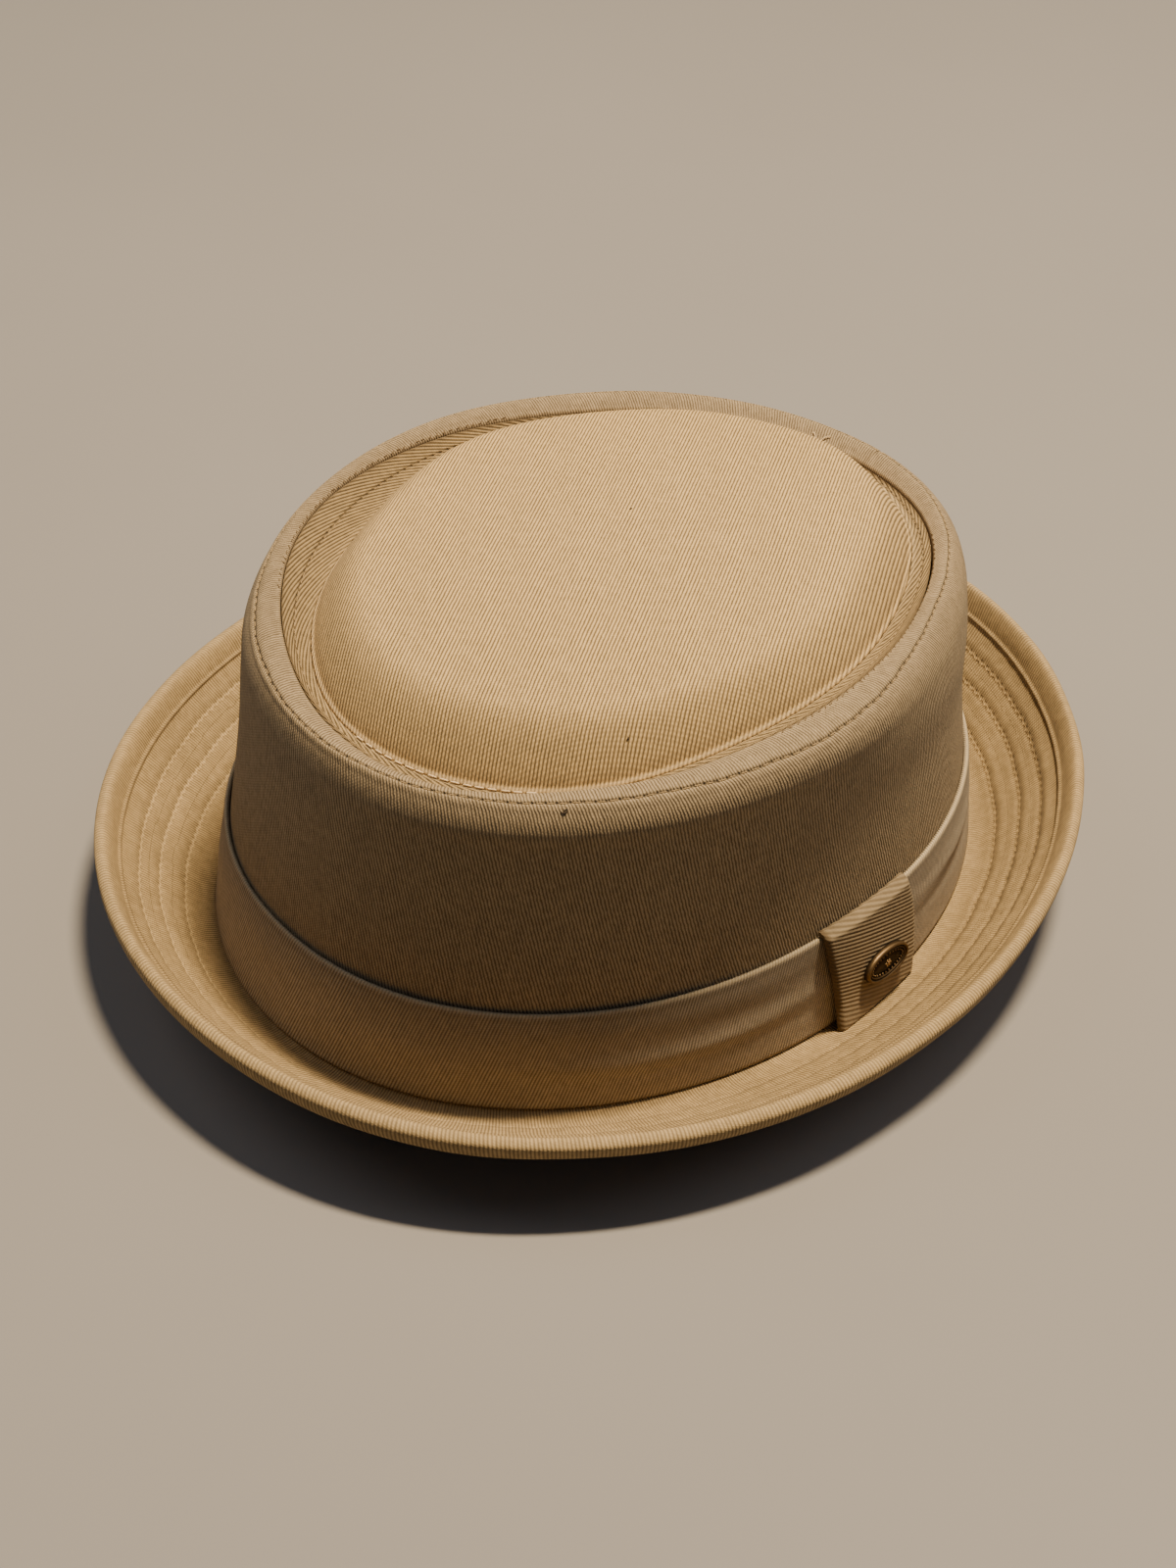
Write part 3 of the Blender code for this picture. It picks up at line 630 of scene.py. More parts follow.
def build_crown_side():
    control = np.stack([crown_ring(s, th) for s in CROWN] + [crest_ring(th), seam_ring(th)])
    t = knots(control)
    stitch_at, seam_at = t[6], t[8]
    s = np.concatenate([np.linspace(0, t[3], 34)[:-1], np.linspace(t[3], t[5], 16)[:-1],
                        np.linspace(t[5], t[6] + 1.6, 26)[:-1], np.linspace(t[6] + 1.6, t[8], 20)])
    p = smooth(control, t, s)
    n = grid_normals(p)
    S, TH = s[:, None], th[None, :]
    d = waves(TH, S, 0.16, 3, 4, 16) * np.clip(S / 30, 0.2, 1)
    # faint upright creases on the left front
    for deg, width, size in ((321, 1.6, 0.16), (326, 2.0, -0.14), (331.5, 1.5, 0.15), (338, 2.4, -0.10), (262, 2.5, 0.10)):
        d = d + size * angle_bump(TH, deg, width) * bump(S, 52, 20)
    # edge stitching: a narrow groove that wanders a little, the cloth puffed beside it
    groove = stitch_at + 0.10 * np.sin(TH * 23) + 0.08 * np.sin(TH * 61 + 1)
    d = d - 0.30 * bump(S, groove, 0.34)
    d = d + 0.16 * bump(S, stitch_at + 1.3, 0.9) + 0.12 * bump(S, stitch_at - 1.3, 1.0)
    d = d + 0.85 * angle_bump(TH, 319.0, 22.0) * bump(S, seam_at - 2.4, 1.7)
    # small gathers where the seam takes the edge in, most on the wearer's right
    gather = np.sin(TH * 71) + np.sin(TH * 113 + 1.0)
    d = d + 0.10 * gather * (0.25 + 0.75 * angle_bump(TH, 205.0, 60.0)) * bump(S, seam_at - 1.3, 1.0)
    # the rim's inner edge turns down into the seam, least at the front where it lies on the tip
    open_seam = 1 - 0.8 * angle_bump(TH, 315.0, 34.0)
    d = d - 0.45 * open_seam * np.clip((S - seam_at + 0.9) / 0.9, 0, 1) ** 2
    # centre back seam
    back = angle_bump(TH, 90.0, 0.32)
    d = d - 0.35 * back * np.clip((seam_at - S) / 3, 0, 1)
    face = p + n * d[..., None]
    pick = np.unique(np.round(np.linspace(0, len(s) - 1, 26)).astype(int))
    hidden = p[pick] - n[pick] * SIDE_WALL
    hidden[0] = p[0] - outward(CROWN[0], th) * SIDE_WALL
    hidden[-1] = p[-1] - UP * SIDE_WALL
    # Painted shade in the stitch groove, in the gathers beside the inner seam, down into that seam and along the centre
    # back seam. A light line above the stitching and on the rim's inner edge is partly rubbed wear and partly painted
    # highlight. The rim is also a little darker towards 215 degrees.
    wear_and_painted_light = (-0.12 * bump(S, groove, 0.25) + 0.06 * bump(S, stitch_at + 0.9, 0.5) - 0.06 * (S > stitch_at) * angle_bump(TH, 215.0, 75.0)
            + open_seam * (0.10 * bump(S, seam_at - 0.8, 0.5) - 0.14 * angle_bump(TH, 205.0, 60.0) * bump(S, seam_at - 1.6, 0.9) - 0.5 * np.clip((S - seam_at + 0.35) / 0.35, 0, 1)) - 0.5 * back)
    beat = beats(hat_arc * 0.857, 2.7)
    piece = wall("crown_side_cloth", face, hidden, hat_arc * 0.93, s, hidden_v=s[pick][::-1], beat=beat,
                 away=S - groove - 0.30 * (np.abs(np.sin(np.pi * beat[:-1]))[None, :] - 0.5),
                 wear_and_painted_light=np.broadcast_to(wear_and_painted_light, face.shape[:2]), material=side_cloth, slot="crown_side")
    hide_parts("crown_side")
    rows = np.array([np.interp(groove[0, j], s, np.arange(len(s))) for j in range(len(th))])
    low = np.floor(rows).astype(int)
    part = (rows - low)[:, None]
    cols = np.arange(len(th))
    path = face[low, cols] * (1 - part) + face[low + 1, cols] * part
    normals = n[low, cols]
    centre, along, normal, length = seam_stitches(path, normals, beat, 0.62, seed=11)
    capsules("edge_stitches", centre + normal * 0.06, along, normal, length, 0.13, thread, "crown_side", sink=0.2)
    # the inner seam's stitches show on the wearer's right and left, and are hidden elsewhere
    k = int(np.argmin(np.abs(s - seam_at + 0.55)))

    def shown(deg):
        deg = np.mod(deg, 360.0)
        return ((deg > 165) & (deg < 238)) | (deg > 352) | (deg < 62)

    beat = beats(hat_arc * 0.80, 2.1)
    centre, along, normal, length = seam_stitches(face[k], n[k], beat, 0.55, jitter=0.12, seed=12, keep=shown)
    r = np.random.default_rng(5)
    side = np.cross(normal, along)
    turn = r.normal(0.5, 0.35, len(centre))[:, None]
    slanted = unit(along * np.cos(turn) + side * np.sin(turn))
    capsules("inner_seam_stitches", centre + normal * 0.03, slanted, normal, length, 0.13, dark_thread, "crown_side", sink=0.25)
    return face, n, s


crown_face, crown_normals, crown_s = build_crown_side()

# ---------------------------------------------------------------- gusset


def tip_seam(th, extra=0.0):
    n = outward(CROWN[-1], th)
    inset = periodic(RIM, "inset", th) - 1.5 * angle_bump(th, 321.0, 15.0)
    p = seam_ring(th) - n * (inset + extra)[..., None]
    p[..., 2] -= periodic(RIM, "drop", th)
    return p


def build_gusset():
    n0 = outward(CROWN[-1], th)
    top = seam_ring(th) - n0 * 0.22 - UP * 0.50
    low = tip_seam(th, 0.12)
    k = np.linspace(0, 1, 40)
    width = np.linalg.norm(low - top, axis=-1)
    p = top[None] * (1 - k)[:, None, None] + low[None] * k[:, None, None]
    sag = 4 * k * (1 - k)
    p = p - UP * (0.55 * sag)[:, None, None] + n0[None] * (0.25 * sag)[:, None, None]
    n = grid_normals(p)
    K, TH = k[:, None], th[None, :]
    s = K * width[None, :]
    d = waves(TH, s, 0.10, 21, 5, 22)
    # a stitched-down allowance runs along the strip as a low step with a needle line
    line = 0.46 * width[None, :]
    d = d + 0.14 * (1 / (1 + np.exp(-(line - s) / 0.12))) - 0.10 * bump(s, line + 0.2, 0.2)
    # turned edge beside the tip
    d = d + 0.30 * bump(s, width[None, :] - 0.9, 0.55)
    face = p + n * d[..., None]
    hidden = p[[0, 10, 20, 30, 39]] - UP * GUSSET_DROP
    # Painted shade along the needle line and at the top, where the strip tucks under the rim. The turned edge by the
    # tip is lighter, partly rubbed wear and partly painted highlight.
    wear_and_painted_light = -0.42 * bump(s, line + 0.2, 0.24) + 0.22 * bump(s, width[None, :] - 0.45, 0.28) - 0.85 * bump(s, 0, 0.45)
    beat = beats(hat_arc * 0.80, 2.4)
    piece = wall("rim_gusset_cloth", face, hidden, hat_arc * 0.80, s, beat=beat, away=s - line, wear_and_painted_light=wear_and_painted_light,
                 material=gusset_cloth, slot="rim_gusset")
    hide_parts("rim_gusset")
    centre, along, normal, length = seam_stitches(face[19], n[19], beat, 0.66, seed=14)
    capsules("gusset_stitches", centre, along, normal, length, 0.11, thread, "rim_gusset", sink=0.3)
    # light stitches that lie open along the tip seam at the right front
    beat = beats(hat_arc * 0.78, 2.9)
    centre, along, normal, length = seam_stitches(
        face[-2], n[-2], beat, 0.78, seed=15, keep=lambda deg: (np.mod(deg, 360) > 274) & (np.mod(deg, 360) < 309))
    capsules("tip_seam_stitches", centre + UP * 0.35, along, normal, length, 0.22, light_thread, "rim_gusset", sink=0.2)


build_gusset()

# ---------------------------------------------------------------- tip

TIP_WALE = 124.3                 # plan direction of the wales, from +X


def build_tip():
    cols = 480
    a = turns(cols)
    seam = tip_seam(a, GAP)
    middle = seam.mean(0)
    centre = np.array([CROWN[-1].centre_x, CROWN[-1].centre_y, middle[2]])
    share = np.concatenate([1 - 0.05 * np.linspace(0, 1, 16)[:-1], np.linspace(0.95, 0.78, 20)[:-1],
                            np.linspace(0.78, 0.03, 30)])
    S = share[:, None, None]
    p = centre + (seam[None] - centre) * S
    z = centre[2] + (seam[None, :, 2] - centre[2]) * share[:, None] ** 3
    over = np.clip((1 - share[:, None]) / TIP_SHOULDER_SHARE, 0, 1)
    z = z + TIP_SHOULDER_RISE * np.sin(np.pi / 2 * over) + TIP_DOME_RISE * (1 - share[:, None] ** 2)
    p[..., 2] = z
    n = grid_normals(p)
    n = np.where((n[..., 2:3] < 0), -n, n)
    radius = np.linalg.norm((seam - centre)[:, :2], axis=-1)
    from_seam = (1 - share[:, None]) * radius[None, :]
    x, y = p[..., 0], p[..., 1]
    d = 0.10 * np.sin(x / 9.0 + 0.7) * np.sin(y / 13.0 + 1.1) + 0.08 * np.sin(x / 5.0 - y / 17.0)
    d = d * np.clip(from_seam / 8, 0, 1)
    d = d + 0.12 * bump(from_seam, 0.20, 0.2) - 0.10 * bump(from_seam, 0.75, 0.3)
    face = p + n * d[..., None]
    under = []
    picks = [0, 10, 20, 28, 36, 44, 52, len(share) - 1]
    for k in picks:
        q = p[k] - n[k] * TIP_WALL if k else p[0] - UP * TIP_WALL
        under.append(q)
    under = np.array(under)
    rows, urows = len(share), len(picks)
    verts = np.concatenate([face.reshape(-1, 3), under.reshape(-1, 3),
                            [centre + UP * (TIP_SHOULDER_RISE + TIP_DOME_RISE), centre + UP * (TIP_SHOULDER_RISE + TIP_DOME_RISE - TIP_WALL)]])
    j = np.arange(cols)
    k = (j + 1) % cols
    quads = []
    for i in range(rows - 1):
        quads.append(np.stack([i * cols + j, i * cols + k, (i + 1) * cols + k, (i + 1) * cols + j], -1))
    base = rows * cols
    for i in range(urows - 1):
        quads.append(np.stack([base + i * cols + j, base + (i + 1) * cols + j, base + (i + 1) * cols + k, base + i * cols + k], -1))
    quads.append(np.stack([j, base + j, base + k, k], -1))
    quads = np.concatenate(quads)
    pole = base + urows * cols
    tris = np.concatenate([np.stack([(rows - 1) * cols + j, (rows - 1) * cols + k, np.full(cols, pole)], -1),
                           np.stack([base + (urows - 1) * cols + k, base + (urows - 1) * cols + j, np.full(cols, pole + 1)], -1)])
    # the wales lie straight across the hat, and keep their spacing down the shoulder
    wale = math.radians(TIP_WALE)
    cx, sx = math.cos(wale), math.sin(wale)
    flat = verts[:, :2] - centre[:2]
    uvv = np.stack([flat[:, 0] * cx + flat[:, 1] * sx, -flat[:, 0] * sx + flat[:, 1] * cx], -1)
    wear_and_painted_light = np.zeros(len(verts))
    # A painted highlight on the seam ridge, weaker towards 30 degrees and partly rubbed wear. Painted shade in a band
    # just inside it and on the shoulder slopes towards 235 and 48 degrees.
    wear_and_painted_light[:rows * cols] = ((0.62 - 0.30 * angle_bump(a[None, :], 30.0, 50.0)) * bump(from_seam, 0.35, 0.26) - 0.30 * bump(from_seam, 1.6, 0.6)
                          - 0.14 * angle_bump(a[None, :], 235.0, 55.0) * bump(from_seam, 4.5, 4.5)
                          - 0.14 * angle_bump(a[None, :], 48.0, 45.0) * bump(from_seam, 5.0, 6.0)).ravel()
    piece = mesh_object("crown_tip_cloth", verts, quads, tris, uv=uvv[quads], uv_tri=uvv[tris], wear_and_painted_light=wear_and_painted_light,
                        material=tip_cloth, slot="crown_tip")
    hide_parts("crown_tip")
    return face, n, centre


tip_face, tip_normals, tip_centre = build_tip()

# ---------------------------------------------------------------- brim


def build_brim():
    n0 = outward(CROWN[0], th)
    foot = band_foot(th)
    reach = periodic(BRIM_EDGE, "out", th) - 1.2 * angle_bump(th, 8.0, 22.0)
    rise = periodic(BRIM_EDGE, "rise", th)
    slope = unit(np.stack([reach, rise], -1))
    tilt = -n0 * slope[:, 1:2] + UP * slope[:, 0:1]

    def at(s):
        return foot + n0 * (reach * s.out)[:, None] + UP * (rise * s.rise)[:, None] + tilt * s.swell

    inner = foot - n0 * (GAP + BAND_WALL + FOOT_INSET)
    start = inner.copy()
    start[:, 2] = FOOT_TOP
    near = foot + n0 * 0.4
    near[:, 2] = FOOT_TOP
    upper = np.stack([start, foot * [1, 1, 0] + UP * FOOT_TOP - n0 * 2.0, near] + [at(s) for s in BRIM_UPPER])
    tu = knots(upper)
    fold_at = tu[-1]
    su = np.concatenate([np.linspace(0, tu[2], 6)[:-1], np.linspace(tu[2], tu[6], 46)[:-1], np.linspace(tu[6], tu[7], 20)])
    pu = smooth(upper, tu, su)
    roll = np.stack([at(s) for s in BRIM_ROLL])
    heel = foot + n0 * FOOT_OUTSET
    heel[:, 2] = 0.0
    lower_in = inner.copy()
    lower_in[:, 2] = 0.0
    tr = knots(roll)
    sr = np.concatenate([np.linspace(0, tr[3], 26)[1:-1], np.linspace(tr[3], tr[5], 16)[:-1], np.linspace(tr[5], tr[7], 22)])
    pr = smooth(roll, tr, sr)
    p = np.concatenate([pu, pr])
    s = np.concatenate([su, fold_at + sr])
    n = grid_normals(p)
    S, TH = s[:, None], th[None, :]
    arc = hat_arc[:-1] * 1.12
    d = np.zeros((len(s), len(th)))
    d = d + waves(TH, S, 0.22, 31, 5, 26, 0.05) * np.clip((S - tu[3]) / 8, 0, 1)
    rows = (tu[4], tu[5], tu[6])
    pucker = np.sin(2 * np.pi * arc / 7.3 + 1.3 * np.sin(TH * 9))[None, :][0]
    away = np.full((len(s), len(th)), 40.0)
    # the rows stand up as steps on the wearer's left, and are nearly flat elsewhere
    stepped = 0.42 + 0.75 * angle_bump(TH, 28.0, 46.0)
    for i, r in enumerate(rows):
        wander = r + 0.25 * np.sin(TH * (5 + i) + i) + 0.12 * np.sin(TH * 31)
        d = d + stepped * (0.40 * bump(S, wander - 0.8, 0.8) - 0.36 * bump(S, wander + 1.7, 1.4) - 0.08 * bump(S, wander, 0.42))
        d = d + 0.10 * pucker * bump(S, wander, 2.2)
        near = S - wander
        away = np.where(np.abs(near) < np.abs(away), near, away)
    # the crease where the rolled edge begins, and the soft roll beyond it
    d = d - 0.75 * bump(S, fold_at, 0.42) + 0.28 * bump(S, fold_at + 3.2, 2.2)
    d = d + 0.10 * pucker * bump(S, fold_at - 1.6, 1.6)
    # short radial wrinkles by the band, behind the tab
    for deg in (29.0, 30.3, 31.8):
        d = d - 0.28 * angle_bump(TH, deg, 0.33) * bump(S, rows[0] - 1.5, 3.2)
    for deg in (222.0, 224.5):
        d = d - 0.18 * angle_bump(TH, deg, 0.7) * bump(S, rows[0] + 3, 2.6)
    d = d - 0.40 * angle_bump(TH, 90.0, 0.30) * np.clip((S - tu[2]) / 4, 0, 1)
    foot_hold = np.clip((S - tu[2]) / 3.0, 0, 1)
    end_hold = np.clip((s[-1] - S) / 5.0, 0, 1)
    d = d * foot_hold * end_hold
    face = p + n * d[..., None]
    closing = np.stack([heel, (heel + lower_in) / 2, lower_in])
    hidden = closing[::-1]
    # Painted shade in the fold crease, past each stitched row (most on the wearer's left) and between the rows and the
    # fold towards 40 degrees. A painted highlight just inside each row and along the roll top, partly rubbed wear.
    wear_and_painted_light = -0.85 * bump(S, fold_at, 0.30) + 0.12 * bump(S, fold_at + tr[2], 2.0)
    wear_and_painted_light = wear_and_painted_light + 0.10 * np.exp(-((away + 0.7) / 0.6) ** 2) - (0.04 + 0.34 * angle_bump(TH, 28.0, 40.0)) * (away > 0) * (away < 9) * np.exp(-((away - 0.7) / 2.0) ** 2)
    wear_and_painted_light = wear_and_painted_light - 0.10 * angle_bump(TH, 40.0, 40.0) * bump(S, (rows[0] + fold_at) / 2, (fold_at - rows[0]) * 0.6)
    wear_and_painted_light = np.broadcast_to(wear_and_painted_light, face.shape[:2])
    beat = beats(hat_arc * 1.12, 2.5)
    piece = wall("brim_cloth", face, hidden, hat_arc * 1.12, s, wear_and_painted_light=wear_and_painted_light, beat=beat, away=away,
                 hidden_v=np.linspace(s[-1] + 2, s[-1] + 14, 3), material=brim_cloth, slot="brim")
    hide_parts("brim")
    for i, r in enumerate(rows):
        wander = r + 0.25 * np.sin(th * (5 + i) + i) + 0.12 * np.sin(th * 31)
        path = np.stack([[np.interp(wander[j], s, face[:, j, c]) for c in range(3)] for j in range(len(th))])
        k = int(np.argmin(np.abs(s - r)))
        centre, along, normal, length = seam_stitches(path, n[k], beat, 0.74, seed=40 + i)
        capsules("brim_stitches_%d" % (i + 1), centre + normal * 0.14, along, normal, length, 0.24, light_thread, "brim", sink=0.2)
    return face, n, s, rows


brim_face, brim_normals, brim_s, brim_rows = build_brim()

# ---------------------------------------------------------------- band


def buckle(th):
    away = (np.degrees(th) - BUCKLE_ANGLE + 180.0) % 360.0 - 180.0
    return np.exp(-(away / BUCKLE_SPREAD) ** 2 * 2.0)


def build_band():
    n0 = outward(CROWN[0], th)
    h = np.concatenate([np.linspace(0.25, BAND_HEIGHT - 1.2, 44)[:-1], BAND_HEIGHT - 1.2 + 1.2 * np.sin(np.linspace(0, np.pi / 2, 10))])
    round_top = np.where(h > BAND_HEIGHT - 1.2, 0.62 * (1 - np.cos(np.arcsin(np.clip((h - BAND_HEIGHT + 1.2) / 1.2, 0, 1)))), 0.0)
    round_low = 0.5 * np.clip(1 - h / 0.9, 0, 1) ** 2
    rows = []
    for i, height in enumerate(h):
        base = ring(band_station(height), th)
        base[:, 2] = SEAT + height
        rows.append(base + n0 * (GAP + BAND_WALL - round_top[i] - round_low[i]))
    p = np.array(rows)
    H, TH = h[:, None], th[None, :]
    share = H / BAND_HEIGHT
    d = waves(TH, H, 0.20, 51, 4, 18, 0.06) * np.sin(np.pi * np.clip(share, 0, 1))
    b = buckle(th)[None, :]
    d = d + b * (0.95 * bump(share, 0.50 + 0.10 * np.sin(TH * 3), 0.11) - 0.45 * bump(share, 0.33, 0.10) + 0.25 * bump(share, 0.80, 0.10))
    # beyond the tab the band folds lengthwise once more
    behind = angle_bump(TH, 33.0, 13.0)
    d = d + behind * (0.55 * bump(share, 0.62, 0.10) - 0.35 * bump(share, 0.42, 0.09))
    # long diagonal drags in the cloth on the left front
    for deg, size in ((232, 0.22), (246, -0.18), (300, 0.20), (312, -0.18)):
        d = d + size * np.exp(-(((np.degrees(TH) - deg - 14 * share + 180) % 360 - 180) / 3.5) ** 2) * np.sin(np.pi * np.clip(share, 0, 1))
    d = np.maximum(d, -0.5)
    face = p + n0[None] * d[..., None]
    hidden = []
    for height in (0.25, 9.0, 19.0, BAND_HEIGHT - 0.5):
        base = ring(band_station(height), th)
        base[:, 2] = SEAT + height
        hidden.append(base + n0 * (GAP * 0.6))
    # A painted highlight along the folded top edge, partly rubbed wear. Painted shade at the foot, where the band meets
    # the brim, and just below the top fold.
    wear_and_painted_light = 0.50 * bump(H, BAND_HEIGHT - 0.15, 0.50) - 0.75 * bump(H, 0.2, 0.7) - 0.22 * bump(H, BAND_HEIGHT - 1.9, 0.5)
    u = hat_arc * 0.98
    piece = wall("hat_band_cloth", face, np.array(hidden), u, h, wear_and_painted_light=np.broadcast_to(wear_and_painted_light, face.shape[:2]),
                 material=band_cloth, slot="hat_band")
    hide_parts("hat_band")


build_band()

# ---------------------------------------------------------------- keeper tab


def side_angle(station, y):
    low, high = np.full_like(y, math.radians(-60)), np.full_like(y, math.radians(75))
    for _ in range(40):
        mid = (low + high) / 2
        below = ring(station, mid)[..., 1] < y
        low = np.where(below, mid, low)
        high = np.where(below, high, mid)
    return (low + high) / 2


def keeper_point(height, y, off):
    s = band_station(height)
    a = side_angle(s, y)
    p = ring(s, a) + outward(CROWN[0], a) * (GAP + BAND_WALL + np.asarray(off))[..., None]
    p[..., 2] = SEAT + height
    return p


def keeper_lay(height):
    hs = [k.height for k in KEEPER]
    return (np.interp(height, hs, [k.centre_y for k in KEEPER]), np.interp(height, hs, [k.width for k in KEEPER]),
            np.interp(height, hs, [k.off for k in KEEPER]))


def build_keeper():
    across = np.concatenate([[0.0], 0.5 - 0.5 * np.cos(np.pi * np.linspace(0.05, 1, 10)[:-1]) ])
    edge = 0.045 * across / across.max()
    w = np.concatenate([edge, np.linspace(0.05, 0.95, 86), 1 - edge[::-1]]) - 0.5
    top = KEEPER[-1].height
    front = []
    heights = np.concatenate([[0.5, 0.56, 0.7, 0.95, 1.3], np.linspace(1.7, top - 0.8, 170), [top - 0.4, top - 0.05]])
    sag_rows, v = [], []
    for h in heights:
        cy, width, off = keeper_lay(h)
        y = cy + w * width
        low_round = 0.8 * max(0.0, 1 - (h - 0.5) / 0.8) ** 2
        thick = KEEPER_WALL * (1 - np.clip(np.abs(w) * 2, 0, 1) ** 26) ** 0.5
        o = 0.7 + off + thick - low_round
        front.append(keeper_point(h, y, o))
        v.append(h)
    # over the top: a round turn to the crown side
    turn = np.linspace(0, np.pi / 2, 9)[1:]
    cy, width, off = keeper_lay(top)
    y = cy + w * width
    for a in turn:
        thick = KEEPER_WALL * (1 - np.clip(np.abs(w) * 2, 0, 1) ** 26) ** 0.5
        o = (0.7 + off + thick) * math.cos(a) + (-0.15) * (1 - math.cos(a))
        front.append(keeper_point(top + 1.25 * math.sin(a), y, o))
        v.append(top + 1.6 * a)
    front.append(keeper_point(top + 1.15, y, np.full_like(w, 0.35 - BAND_WALL)))
    v.append(v[-1] + 1.2)
    front = np.array(front)
    v = np.array(v)
    # the front corner of its foot hangs lower and stands off the band
    corner = np.exp(-((v - 0.5) / 5.0) ** 2)[:, None] * np.clip((0.15 - w) / 0.65, 0, 1)[None, :] ** 1.4
    front = front + corner[..., None] * np.array([1.2, -1.1, -0.4])
    n = grid_normals(front, closed=False)
    if n[40, 40, 0] < 0:
        n = -n
    # the ribs: heavy cords lying aslant across the tab
    uu = w[None, :] * 30.0
    vv = v[:, None]
    a = math.radians(-19.0)
    over = -uu * math.sin(a) + vv * math.cos(a)
    ribs = 0.5 + 0.5 * np.sin(2 * np.pi * over / 1.12)
    d = 0.13 * (ribs ** 0.8 - 0.5)
    d = d + 0.10 * np.sin(uu * 0.23 + 0.6) * np.sin(vv * 0.19 + 0.4)
    # worn smoother near the foot, where the ribs fade
    patch = np.exp(-((w[None, :] - 0.20) / 0.24) ** 2 - ((vv - 4.5) / 3.6) ** 2)
    fade = np.clip((vv - 1.0) / 7.0, 0.25, 1) * (1 - 0.85 * patch) * np.clip((0.5 - np.abs(w[None, :])) / 0.02, 0.0, 1)
    face = front + n * (d * fade)[..., None]
    back = []
    for h in (0.5, 10.0, 20.0, top - 0.3):
        cy, width, off = keeper_lay(h)
        back.append(keeper_point(h, cy + w * width, np.full_like(w, 0.66 + off)))
    cy, width, off = keeper_lay(top)
    back.append(keeper_point(top, cy + w * width, np.full_like(w, 0.35 - BAND_WALL)))
    back = np.array(back)
    loop = np.concatenate([face, back[::-1]])
    rows, cols = loop.shape[:2]
    index = np.arange(rows * cols).reshape(rows, cols)
    below = np.roll(index, -1, 0)
    quads = np.stack([index[:, :-1], index[:, 1:], below[:, 1:], below[:, :-1]], -1).reshape(-1, 4)
    vloop = np.concatenate([v, np.linspace(v[-1] + 1, v[-1] + 30, len(back))])
    vnext = np.append(vloop[1:], vloop[-1] + 1)
    uvr = np.empty((rows, cols - 1, 4, 2))
    uvr[..., 0, 0] = uvr[..., 3, 0] = (w[:-1] * 30.0)[None]
    uvr[..., 1, 0] = uvr[..., 2, 0] = (w[1:] * 30.0)[None]
    uvr[..., 0, 1] = uvr[..., 1, 1] = vloop[:, None]
    uvr[..., 2, 1] = uvr[..., 3, 1] = vnext[:, None]
    # the two long side edges are closed with a fan each
    tris, tri_uv = [], []
    for c, sign in ((0, 1), (cols - 1, -1)):
        ids = index[:, c]
        nf, nb = len(face), len(back)
        # strip between the front edge and the back edge
        fi, bi = 0, nb - 1
        front_ids, back_ids = ids[:nf], ids[nf:][::-1]
        i = j = 0
        while i < nf - 1 or j < nb - 1:
            step_front = (i + 1) / (nf - 1) if i < nf - 1 else 9
            step_back = (j + 1) / (nb - 1) if j < nb - 1 else 9
            if step_front <= step_back:
                tri = (front_ids[i], back_ids[j], front_ids[i + 1])
                i += 1
            else:
                tri = (front_ids[i], back_ids[j], back_ids[j + 1])
                j += 1
            tris.append(tri if sign > 0 else tri[::-1])
            tri_uv.append([(w[c] * 30, 0)] * 3)
    wear_and_painted_light = np.zeros((rows, cols))
    # A painted highlight on the top fold, partly rubbed wear. Painted shade between the ribs, on one long side edge and
    # along the foot, where the tab stands off the band and brim.
    wear_and_painted_light[:len(face)] = 0.12 * bump(vv, top + 0.6, 1.0) - 0.12 * (1 - ribs) * fade
    wear_and_painted_light[:, :7] += -0.95
    wear_and_painted_light[:len(face), 7:10] += -0.30
    wear_and_painted_light[:3] -= 0.80
    piece = mesh_object("band_keeper_rib", loop.reshape(-1, 3), quads, np.array(tris), uv=uvr.reshape(-1, 4, 2),
                        uv_tri=np.array(tri_uv, float), wear_and_painted_light=wear_and_painted_light, material=rib_cloth, slot="band_keeper")
    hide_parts("band_keeper")


build_keeper()

# ---------------------------------------------------------------- badge


